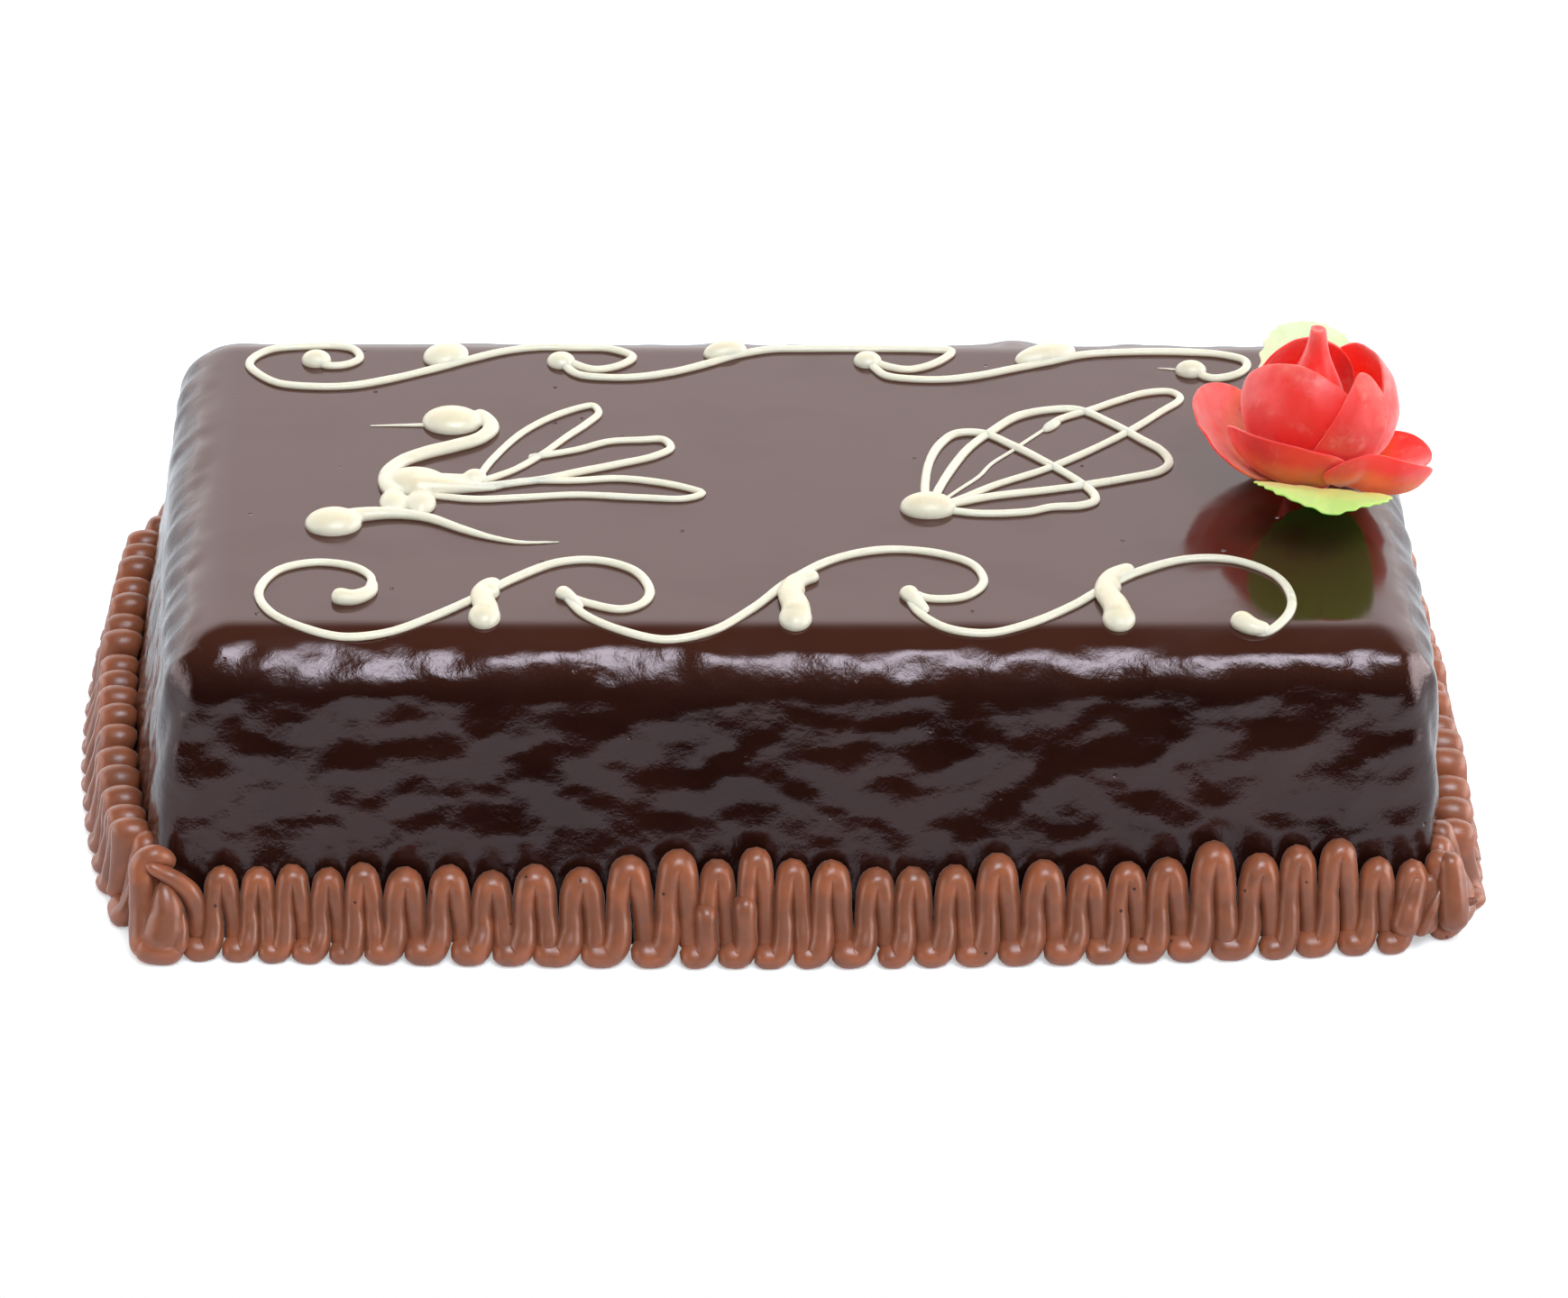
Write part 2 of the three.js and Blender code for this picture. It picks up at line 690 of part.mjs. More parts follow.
const rose = new THREE.Group();
rose.position.set(ROSE.x, ROSE.y, 0);
rose.add(piece("rose_bud", roseBud(), PETAL));
[
  cupPetal({ azimuth: -84, spread: 29, radius: 18.2, rise: 17, top: 42, lean: 34 }),
  cupPetal({ azimuth: -122, spread: 67, radius: 15, rise: 15, top: 57 }),
  cupPetal({ azimuth: 6, spread: 69, radius: 16.7, rise: 15.8, top: 40, foot: -56 }),
  cupPetal({ azimuth: 100, spread: 54, radius: 13.4, rise: 13.4, top: 55 }),
].forEach((shape, i) => rose.add(piece(`petal_inner_${i + 1}`, petalSheet(shape), PETAL)));
[
  cupPetal({
    azimuth: -121, spread: 46, radius: 19.7, rise: 18.4, foot: -48, top: 2, early: 0.6,
  }),
  openPetal({
    azimuth: 172, rootHeight: 1.7, length: 22.5, halfWidth: 14, firstSlope: 8, lastSlope: 62,
    bend: 40,
  }),
  cupPetal({
    azimuth: -54, spread: 31, radius: 21.2, rise: 16.2, middle: 17.6, foot: -50, top: -4,
    early: 0.6, flare: 5,
  }),
  openPetal({
    azimuth: -8, rootHeight: 2.8, length: 18, halfWidth: 9.2, firstSlope: 2, lastSlope: 30,
    bend: 16,
  }),
  openPetal({
    azimuth: 62, rootHeight: 1.3, length: 20, halfWidth: 9.2, firstSlope: 5, lastSlope: 60,
    bend: 16,
  }),
  openPetal({
    azimuth: 118, rootHeight: 3, length: 19, halfWidth: 10, firstSlope: 5, lastSlope: 60,
    bend: 16,
  }),
].forEach((shape, i) => rose.add(piece(`petal_outer_${i + 1}`, petalSheet(shape), PETAL)));
const frontLeaf = { azimuth: -90.2, rim: 12.4, width: LEAF.width, bow: 0, tilt: -1.6 };
const backLeaf = { azimuth: 87, rim: 18, width: 0.75 * LEAF.width, bow: 1, tilt: 0 };
rose.add(piece("leaf_front", leaf(frontLeaf), GREEN));
rose.add(piece("leaf_back", leaf(backLeaf), GREEN));
topping.add(rose);

export default cake;
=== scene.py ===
"""A whole glazed rectangular layer cake, in a plain pale studio.

The cake is poured over with dark glaze. A rope of brown cream is piped round its foot in upright
arches, white ornament is piped on its flat top, and a red wafer rose with two green leaves stands
at its right. Shapes are worked out in millimetres, +X along the cake towards the rose, front
towards -Y, +Z up, and become metres when a piece is finished.
"""

import logging
import math
import random
from collections.abc import Callable, Sequence
from dataclasses import dataclass, field
from enum import Enum
from functools import partial, reduce
from itertools import accumulate

import bmesh
import bpy
from mathutils import Matrix, Vector, noise

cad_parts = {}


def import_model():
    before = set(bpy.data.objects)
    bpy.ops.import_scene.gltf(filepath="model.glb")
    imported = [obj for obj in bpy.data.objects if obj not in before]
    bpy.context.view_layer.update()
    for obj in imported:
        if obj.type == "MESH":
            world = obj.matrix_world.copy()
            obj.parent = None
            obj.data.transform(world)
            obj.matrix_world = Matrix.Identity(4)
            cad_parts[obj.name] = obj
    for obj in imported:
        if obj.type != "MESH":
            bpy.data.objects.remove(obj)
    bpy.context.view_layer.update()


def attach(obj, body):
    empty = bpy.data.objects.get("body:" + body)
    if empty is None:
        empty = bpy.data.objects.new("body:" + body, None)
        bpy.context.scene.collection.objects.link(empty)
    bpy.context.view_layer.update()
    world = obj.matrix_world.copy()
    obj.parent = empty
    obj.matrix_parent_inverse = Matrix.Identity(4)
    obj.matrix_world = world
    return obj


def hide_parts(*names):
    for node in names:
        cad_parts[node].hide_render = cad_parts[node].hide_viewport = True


MM = 0.001
LOG = logging.getLogger("cake")

Colour = tuple[float, float, float]
Point = tuple[float, float]

# Points nearer than this are one, in millimetres
CLOSE = 1e-4
# How many places a route is worked out at between two turning points
FINE = 16
# The part of soft noise's range that most of it lies in
MIDDLING: Point = (0.3, 0.7)


# Shared shaping tools

def smoothstep(low: float, high: float, value: float) -> float:
    """Returns 0 below low, 1 above high and an even ease between them."""
    share = min(1.0, max(0.0, (value - low) / (high - low)))
    return share * share * (3 - 2 * share)


def lerp(a: float, b: float, share: float) -> float:
    """Returns the value a share of the way from a to b."""
    return a + (b - a) * share


def distances(stations: Sequence[Vector]) -> list[float]:
    """Returns how far along a route each of its stations is."""
    steps = [(b.xyz - a.xyz).length for a, b in zip(stations, stations[1:])]
    return list(accumulate(steps, initial=0.0))


def rounded_route(points: Sequence[Vector], step: float) -> list[Vector]:
    """Runs a smooth route through a few turning points.

    Args:
        points: the turning points, each x, y, z and the rope's radius there.
        step: how far apart the stations come out.

    Returns:
        Evenly spaced stations, each x, y, z and radius.
    """
    padded = [2 * points[0] - points[1], *points, 2 * points[-1] - points[-2]]
    dense = [points[0].copy()]
    for p0, p1, p2, p3 in zip(padded, padded[1:], padded[2:], padded[3:]):
        t1 = max(CLOSE, (p1.xyz - p0.xyz).length) ** 0.5
        t2 = t1 + max(CLOSE, (p2.xyz - p1.xyz).length) ** 0.5
        t3 = t2 + max(CLOSE, (p3.xyz - p2.xyz).length) ** 0.5
        for i in range(1, FINE + 1):
            t = lerp(t1, t2, i / FINE)
            a1 = p0.lerp(p1, t / t1)
            a2 = p1.lerp(p2, (t - t1) / (t2 - t1))
            a3 = p2.lerp(p3, (t - t2) / (t3 - t2))
            b1 = a1.lerp(a2, t / t2)
            b2 = a2.lerp(a3, (t - t1) / (t3 - t1))
            dense.append(b1.lerp(b2, (t - t1) / (t2 - t1)))
    gone = distances(dense)
    count = max(3, round(gone[-1] / step))
    stations, i = [], 0
    for k in range(count + 1):
        wanted = gone[-1] * k / count
        while i < len(dense) - 2 and gone[i + 1] < wanted:
            i += 1
        share = (wanted - gone[i]) / max(1e-9, gone[i + 1] - gone[i])
        stations.append(dense[i].lerp(dense[i + 1], share))
    return stations


def rounded_ends(stations: Sequence[Vector]) -> list[Vector]:
    """Draws a rope's two ends in to points, so that each closes as a round head.

    Args:
        stations: the rope's stations, each x, y, z and radius.

    Returns:
        The stations with the radii of the heads.
    """
    gone = distances(stations)
    shaped = []
    for station, along in zip(stations, gone):
        depth = min(along, gone[-1] - along) / max(1e-6, station.w)
        narrow = math.sqrt(max(0.0, 1 - (1 - min(1.0, depth)) ** 2))
        shaped.append(Vector((*station.xyz, station.w * narrow)))
    return shaped


def sweep(bm: bmesh.types.BMesh, stations: Sequence[Vector], around: int, flat: float = 1.0,
          facing: Colour = (0.0, 0.0, 0.0), deep: float = 0.0) -> None:
    """Adds a closed rope along a route to a mesh.

    Args:
        bm: the mesh to add to.
        stations: the route, each x, y, z and radius.
        around: how many faces go round the rope.
        flat: the rope's height as a share of its width, where it lies level.
        facing: a way that the rope's section is drawn out.
        deep: the share by which it is drawn out.
    """
    drawn = Vector(facing)
    rows = len(stations) - 1
    made = bmesh.ops.create_grid(bm, x_segments=rows, y_segments=around, size=0.5)["verts"]
    side = None
    steep = 0.2
    frames = []
    for i, station in enumerate(stations):
        ahead = stations[min(i + 1, rows)].xyz - stations[max(i - 1, 0)].xyz
        ahead.normalize()
        if side is None:
            side = ahead.cross(Vector((0, 0, 1)))
            if side.length < steep:
                side = ahead.cross(Vector((0, 1, 0)))
        side = (side - ahead * side.dot(ahead)).normalized()
        frames.append((station.xyz, side, side.cross(ahead)))
    for vert in made:
        i = round((vert.co.x + 0.5) * rows)
        turn = (vert.co.y + 0.5) * 2 * math.pi
        middle, across, up = frames[i]
        ring = (across * math.cos(turn) + up * (math.sin(turn) * flat)) * stations[i].w
        vert.co = middle + ring + drawn * (deep * ring.dot(drawn))
    bmesh.ops.remove_doubles(bm, verts=made, dist=CLOSE)


def roughen(bm: bmesh.types.BMesh, height: float, size: float, seed: float) -> None:
    """Moves a surface in and out by soft noise.

    Args:
        bm: the mesh to move.
        height: the most that a point moves.
        size: the size of one bump.
        seed: shifts the pattern.
    """
    bm.normal_update()
    shift = Vector((seed, seed * 0.7, seed * 1.3))
    moves = [v.normal * (height * noise.noise(v.co / size + shift)) for v in bm.verts]
    for vert, move in zip(bm.verts, moves):
        vert.co += move


def to_object(name: str, bm: bmesh.types.BMesh, finish: bpy.types.Material) -> bpy.types.Object:
    """Turns a finished mesh in millimetres into a smooth object in metres.

    Args:
        name: the object's name.
        bm: the mesh, which is used up.
        finish: the object's material.

    Returns:
        The new object, at the origin and linked to the scene.
    """
    bmesh.ops.scale(bm, vec=(MM, MM, MM), verts=bm.verts)
    bmesh.ops.recalc_face_normals(bm, faces=bm.faces)
    mesh = bpy.data.meshes.new(name)
    bm.to_mesh(mesh)
    bm.free()
    mesh.shade_smooth()
    mesh.materials.append(finish)
    made = bpy.data.objects.new(name, mesh)
    bpy.context.scene.collection.objects.link(made)
    return made


def melt(thick: bmesh.types.BMesh, voxel: float, rounds: int, into: bmesh.types.BMesh) -> None:
    """Runs overlapping strokes together into one skin with softened joins.

    Args:
        thick: the strokes, which are used up.
        voxel: the fineness of the new skin.
        rounds: how many times the skin is evened out.
        into: the mesh that the skin is added to.
    """
    rough = bpy.data.meshes.new("melt")
    thick.to_mesh(rough)
    thick.free()
    lump = bpy.data.objects.new("melt", rough)
    bpy.context.scene.collection.objects.link(lump)
    remesh = lump.modifiers.new("melt", "REMESH")
    remesh.mode = "VOXEL"
    remesh.voxel_size = voxel
    soften = lump.modifiers.new("soften", "SMOOTH")
    soften.factor = 0.5
    soften.iterations = rounds
    depsgraph = bpy.context.evaluated_depsgraph_get()
    skin = bpy.data.meshes.new_from_object(lump.evaluated_get(depsgraph))
    into.from_mesh(skin)
    bpy.data.objects.remove(lump)
    for used in (rough, skin):
        bpy.data.meshes.remove(used)


def round_off(piece: bpy.types.Object) -> None:
    """Makes a piece's faces finer and rounder, in views and renders alike."""
    rounding = piece.modifiers.new("rounding", "SUBSURF")
    rounding.levels = rounding.render_levels = 1


def stand_in(piece: bpy.types.Object, slot: str, *nodes: str) -> bpy.types.Object:
    """Puts a finished piece in the place of its nodes.

    Args:
        piece: the piece.
        slot: the material slot that it fills; not used.
        nodes: the nodes that it stands for.

    Returns:
        The piece.
    """
    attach(piece, "root")
    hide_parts(*nodes)
    LOG.info("%s: %d faces for %s", piece.name, len(piece.data.polygons), ", ".join(nodes))
    return piece


# Finishes

class Tree:
    """A small helper that lays down and joins the nodes of one node tree."""

    def __init__(self, tree: bpy.types.NodeTree) -> None:
        """Starts on a tree."""
        self.tree = tree

    def feed(self, socket: bpy.types.NodeSocket, value: object) -> None:
        """Joins an input socket to an output socket, or sets it to a value.

        Args:
            socket: the input socket.
            value: the output socket, or the value.
        """
        if isinstance(value, bpy.types.NodeSocket):
            self.tree.links.new(value, socket)
        else:
            socket.default_value = value

    def add(self, kind: str, **values: object) -> bpy.types.Node:
        """Adds a node and sets its properties and inputs.

        Args:
            kind: the node's type.
            values: properties, or input sockets with spaces written as underscores.

        Returns:
            The node.
        """
        made = self.tree.nodes.new(kind)
        for key, value in values.items():
            if hasattr(made, key):
                setattr(made, key, value)
            else:
                self.feed(made.inputs[key.replace("_", " ")], value)
        return made

    def range(self, value: bpy.types.NodeSocket, low: float, high: float,
              to_low: float = 0.0, to_high: float = 1.0) -> bpy.types.NodeSocket:
        """Eases a value from one range into another.

        Args:
            value: the value.
            low: where the ease begins.
            high: where the ease ends.
            to_low: the result up to there.
            to_high: the result from there on.

        Returns:
            The result.
        """
        made = self.add("ShaderNodeMapRange", interpolation_type="SMOOTHSTEP", Value=value,
                        From_Min=low, From_Max=high, To_Min=to_low, To_Max=to_high)
        return made.outputs["Result"]

    def math(self, operation: str, *values: object) -> bpy.types.NodeSocket:
        """Does one sum.

        Args:
            operation: the kind of sum.
            values: its numbers or sockets.

        Returns:
            The result.
        """
        made = self.add("ShaderNodeMath", operation=operation)
        for socket, value in zip(made.inputs, values):
            self.feed(socket, value)
        return made.outputs[0]


class Nodes(Tree):
    """The nodes of one surface material, whose patterns are sized in millimetres."""

    def __init__(self, name: str) -> None:
        """Starts a material with a bare surface shader."""
        self.material = bpy.data.materials.new(name)
        self.material.use_nodes = True
        super().__init__(self.material.node_tree)
        self.shader = self.tree.nodes["Principled BSDF"]
        self.place = self.add("ShaderNodeTexCoord").outputs["Object"]

    def set(self, **values: object) -> None:
        """Sets or joins sockets of the surface shader, with underscores for spaces."""
        for key, value in values.items():
            self.feed(self.shader.inputs[key.replace("_", " ")], value)

    def glow(self, weight: float, depth: float, radius: Colour) -> None:
        """Lets light soak into the surface.

        Args:
            weight: the share of the light that soaks in.
            depth: how deep it goes, in metres.
            radius: how far each colour goes, as a share of the depth.
        """
        self.set(Subsurface_Weight=weight, Subsurface_Scale=depth, Subsurface_Radius=radius)

    def bloom(self, weight: float, rough: float, tint: Colour) -> None:
        """Gives the surface a soft pale sheen of a strength, roughness and tint."""
        self.set(Sheen_Weight=weight, Sheen_Roughness=rough, Sheen_Tint=(*tint, 1.0))

    def stretched(self, scale: Colour, turn: Colour = (0, 0, 0)) -> bpy.types.NodeSocket:
        """Returns the place on the piece, stretched and turned."""
        return self.add("ShaderNodeMapping", Vector=self.place, Scale=scale, Rotation=turn).outputs[0]

    def noise(self, size: float, detail: float = 2.0, rough: float = 0.5,
              at: bpy.types.NodeSocket | None = None) -> bpy.types.NodeSocket:
        """Lays soft noise from 0 to 1.

        Args:
            size: the size of one blotch in millimetres.
            detail: how many finer layers it has.
            rough: how strong the finer layers are.
            at: the place to read it at, or the piece's own.

        Returns:
            The noise's value.
        """
        made = self.add("ShaderNodeTexNoise", Vector=at or self.place, Scale=1 / (size * MM),
                        Detail=detail, Roughness=rough)
        return made.outputs["Fac"]

    def uneven(self, size: float, low: float, high: float) -> bpy.types.NodeSocket:
        """Returns a value that wanders from low to high over blotches of a size."""
        return self.range(self.noise(size), *MIDDLING, low, high)

    def height_band(self, low: float, high: float, to_low: float = 0.0,
                    to_high: float = 1.0) -> bpy.types.NodeSocket:
        """Eases from one value to another between two heights on the piece.

        Args:
            low: the lower height in millimetres.
            high: the upper height.
            to_low: the value below.
            to_high: the value above.

        Returns:
            The eased value.
        """
        height = self.add("ShaderNodeSeparateXYZ", Vector=self.place).outputs["Z"]
        return self.range(height, low * MM, high * MM, to_low, to_high)

    def spots(self, spacing: float, edge: Point) -> bpy.types.NodeSocket:
        """Lays small round spots.

        Args:
            spacing: how far apart they are in millimetres.
            edge: where a spot's edge begins and ends, as shares of the spacing.

        Returns:
            0 in a spot and 1 between them.
        """
        cells = self.add("ShaderNodeTexVoronoi", Vector=self.place, Scale=1 / (spacing * MM),
                         Randomness=1.0)
        return self.range(cells.outputs["Distance"], *edge)

    def ramp(self, value: bpy.types.NodeSocket, *stops: tuple[float, Colour]) -> bpy.types.NodeSocket:
        """Picks a colour from some stops.

        Args:
            value: where to read them, from 0 to 1.
            stops: each stop's place and colour.

        Returns:
            The colour.
        """
        made = self.add("ShaderNodeValToRGB", Fac=value)
        band = made.color_ramp
        while len(band.elements) < len(stops):
            band.elements.new(0.5)
        for element, (at, colour) in zip(band.elements, stops):
            element.position = at
            element.color = (*colour, 1)
        return made.outputs["Color"]

    def mix(self, share: bpy.types.NodeSocket, a: object, b: object) -> bpy.types.NodeSocket:
        """Mixes two colours.

        Args:
            share: how much of the second is in it.
            a: the first colour or socket.
            b: the second colour or socket.

        Returns:
            The colour.
        """
        made = self.add("ShaderNodeMix", data_type="RGBA")
        self.feed(made.inputs[0], share)
        for socket, value in ((made.inputs[6], a), (made.inputs[7], b)):
            self.feed(socket, value if isinstance(value, bpy.types.NodeSocket) else (*value, 1))
        return made.outputs[2]

    def bump(self, height: bpy.types.NodeSocket, depth: float,
             under: bpy.types.NodeSocket | None = None) -> bpy.types.NodeSocket:
        """Gives the surface a fine relief.

        Args:
            height: the relief's height, from 0 to 1.
            depth: how deep it is in millimetres.
            under: another relief that it lies on.

        Returns:
            The way that the surface faces.
        """
        made = self.add("ShaderNodeBump", Height=height, Strength=1.0, Distance=depth * MM)
        if under is not None:
            self.feed(made.inputs["Normal"], under)
        return made.outputs[0]


@dataclass(frozen=True)
class GlazeFinish:
    """Dark poured glaze: glossy, with burst bubbles, and a top painted lighter for the light from
    above.

    Attributes:
        deep: its colour where it is darkest.
        warm: its colour in browner clouds.
        top: its colour on the top, painted lighter and browner for the stronger light there.
        sheen: the tint of what it mirrors.
        index: its refractive index.
        cloud_size: the size of one cloud.
        cloud_steps: where the noise turns from deep to warm.
        lit_top_heights: the heights between which the top's painted light comes in.
        gloss: its roughness, at the least and at the most.
        smear_size: the size of one smear of gloss.
        smear_steps: where the noise turns from the least to the most.
        dull: how much rougher it is in patches near the rim.
        dull_size: the size of one such patch.
        dull_steps: where the noise turns into a patch.
        dull_heights: the heights between which the patches come in.
        pit_spacing: how far apart the burst bubbles are.
        pit_edge: where a bubble's edge begins and ends, as shares of the spacing.
        pit_depth: how deep a bubble is.
        ragged: the depth of the walls' fine relief.
        ragged_size: the size of that relief.
        ragged_heights: the heights between which it dies out.
        ragged_top: the share of it that is left on the top.
    """

    deep: Colour = (0.016, 0.0042, 0.0028)
    warm: Colour = (0.026, 0.0070, 0.0044)
    top: Colour = (0.054, 0.0165, 0.0100)
    sheen: Colour = (1.0, 0.78, 0.80)
    index: float = 1.55
    cloud_size: float = 26.0
    cloud_steps: Point = (0.35, 0.68)
    lit_top_heights: Point = (52.0, 61.5)
    gloss: Point = (0.06, 0.10)
    smear_size: float = 11.0
    smear_steps: Point = (0.3, 0.75)
    dull: float = 0.13
    dull_size: float = 15.0
    dull_steps: Point = (0.42, 0.66)
    dull_heights: Point = (47.0, 55.0)
    pit_spacing: float = 9.0
    pit_edge: Point = (0.02, 0.06)
    pit_depth: float = 0.25
    ragged: float = 0.24
    ragged_size: float = 3.2
    ragged_heights: Point = (59.0, 61.5)
    ragged_top: float = 0.06

    def material(self) -> bpy.types.Material:
        """Builds the material.

        Returns:
            The material.
        """
        mat = Nodes("chocolate_glaze")
        cloud = mat.noise(self.cloud_size, detail=3, rough=0.55, at=mat.stretched((1, 1, 1.8)))
        body = mat.ramp(cloud, *zip(self.cloud_steps, (self.deep, self.warm)))
        # Painted light: the top is coloured lighter and browner for the stronger light that falls on
        # it.
        rise = mat.height_band(*self.lit_top_heights)
        mat.set(Base_Color=mat.mix(rise, body, self.top), Specular_Tint=(*self.sheen, 1))
        smear = mat.noise(self.smear_size, at=mat.stretched((0.4, 1, 1), turn=(0, 0, 0.2)))
        patch = mat.range(mat.noise(self.dull_size, at=mat.stretched((0.7, 1, 1))), *self.dull_steps)
        rim = mat.math("MULTIPLY", mat.height_band(*self.dull_heights), patch)
        gloss = mat.range(smear, *self.smear_steps, *self.gloss)
        mat.set(Roughness=mat.math("MULTIPLY_ADD", rim, self.dull, gloss), IOR=self.index)
        level = mat.height_band(*self.ragged_heights, 1.0, self.ragged_top)
        fine = mat.noise(self.ragged_size, detail=6, rough=0.6)
        ragged = mat.bump(mat.math("MULTIPLY", fine, level), self.ragged)
        mat.set(Normal=mat.bump(mat.spots(self.pit_spacing, self.pit_edge), self.pit_depth, ragged))
        return mat.material


@dataclass(frozen=True)
class CreamFinish:
    """Brown butter cream: satin, a little uneven, with tiny air holes, and painted shade in the holes
    and on the upright legs.

    Attributes:
        dull: its colour where it is greyer and darker, in random clouds and in the painted shade on
            the legs.
        rich: its colour where it is browner.
        hole: the painted shade inside an air hole.
        index: its refractive index.
        cloud_size: the size of one cloud of colour.
        cloud_steps: where the noise turns from dull to rich.
        leg_shade_from: the heights between which the painted shade on the upright legs begins.
        leg_shade_to: the heights between which that painted shade ends.
        leg_shade: how far that painted shade moves the noise towards dull.
        hole_spacing: how far apart the holes are.
        hole_edge: where a hole's edge begins and ends, as shares of the spacing.
        hole_depth: how deep a hole is.
        grain_size: the size of the cream's grain.
        grain_depth: how deep the grain is.
        gloss: its roughness, at the least and at the most.
        gloss_size: the size of one blotch of gloss.
        skin: the strength of the smooth skin on it.
        skin_rough: how rough that skin is.
        tint: the tint of its sheen.
    """

    dull: Colour = (0.228, 0.069, 0.032)
    rich: Colour = (0.348, 0.096, 0.038)
    hole: Colour = (0.05, 0.014, 0.008)
    index: float = 1.46
    cloud_size: float = 4.5
    cloud_steps: Point = (0.28, 0.62)
    leg_shade_from: Point = (3.5, 7.0)
    leg_shade_to: Point = (11.0, 16.0)
    leg_shade: float = -0.22
    hole_spacing: float = 5.5
    hole_edge: Point = (0.035, 0.07)
    hole_depth: float = 0.3
    grain_size: float = 0.7
    grain_depth: float = 0.035
    gloss: Point = (0.34, 0.46)
    gloss_size: float = 3.0
    skin: float = 0.25
    skin_rough: float = 0.22
    tint: Colour = (1.0, 0.85, 0.78)

    def material(self) -> bpy.types.Material:
        """Builds the material.

        Returns:
            The material.
        """
        mat = Nodes("border_cream")
        # Painted shade: the upright legs are turned darker for the less light that falls on them.
        legs = mat.math("MULTIPLY", mat.height_band(*self.leg_shade_from),
                        mat.height_band(*self.leg_shade_to, 1.0, 0.0))
        drift = mat.noise(self.cloud_size, detail=3, rough=0.55)
        cloud = mat.math("MULTIPLY_ADD", legs, self.leg_shade, drift)
        body = mat.ramp(cloud, *zip(self.cloud_steps, (self.dull, self.rich)))
        # Painted shade: the air holes are coloured dark for the shade inside them; the bump gives
        # their dent.
        solid = mat.spots(self.hole_spacing, self.hole_edge)
        mat.set(Base_Color=mat.mix(solid, self.hole, body), IOR=self.index)
        mat.set(Roughness=mat.uneven(self.gloss_size, *self.gloss))
        mat.set(Coat_Weight=self.skin, Coat_Roughness=self.skin_rough)
        grain = mat.bump(mat.noise(self.grain_size, detail=2, rough=0.6), self.grain_depth)
        mat.set(Normal=mat.bump(solid, self.hole_depth, grain))
        mat.bloom(weight=0.3, rough=0.25, tint=self.tint)
        mat.glow(weight=0.06, depth=0.0012, radius=(1.0, 0.35, 0.2))
        return mat.material


@dataclass(frozen=True)
class PipingFinish:
    """White piping: smooth and glossy, yellower where it is thick.

    Attributes:
        thin: its colour where it is thin.
        thick: its colour where it is thick.
        heights: the heights between which it turns from thin to thick.
        index: its refractive index.
        gloss: its roughness, at the least and at the most.
        gloss_size: the size of one blotch of gloss.
        grain_size: the size of its fine relief.
        grain_depth: how deep that relief is.
    """

    thin: Colour = (0.80, 0.72, 0.56)
    thick: Colour = (0.79, 0.67, 0.47)
    heights: Point = (63.6, 65.4)
    index: float = 1.46
    gloss: Point = (0.24, 0.38)
    gloss_size: float = 4.0
    grain_size: float = 1.2
    grain_depth: float = 0.03

    def material(self) -> bpy.types.Material:
        """Builds the material.

        Returns:
            The material.
        """
        mat = Nodes("white_piping")
        mat.set(Base_Color=mat.mix(mat.height_band(*self.heights), self.thin, self.thick))
        mat.set(Roughness=mat.uneven(self.gloss_size, *self.gloss), IOR=self.index)
        mat.set(Normal=mat.bump(mat.noise(self.grain_size), self.grain_depth))
        mat.glow(weight=0.25, depth=0.0012, radius=(1.0, 0.8, 0.5))
        return mat.material


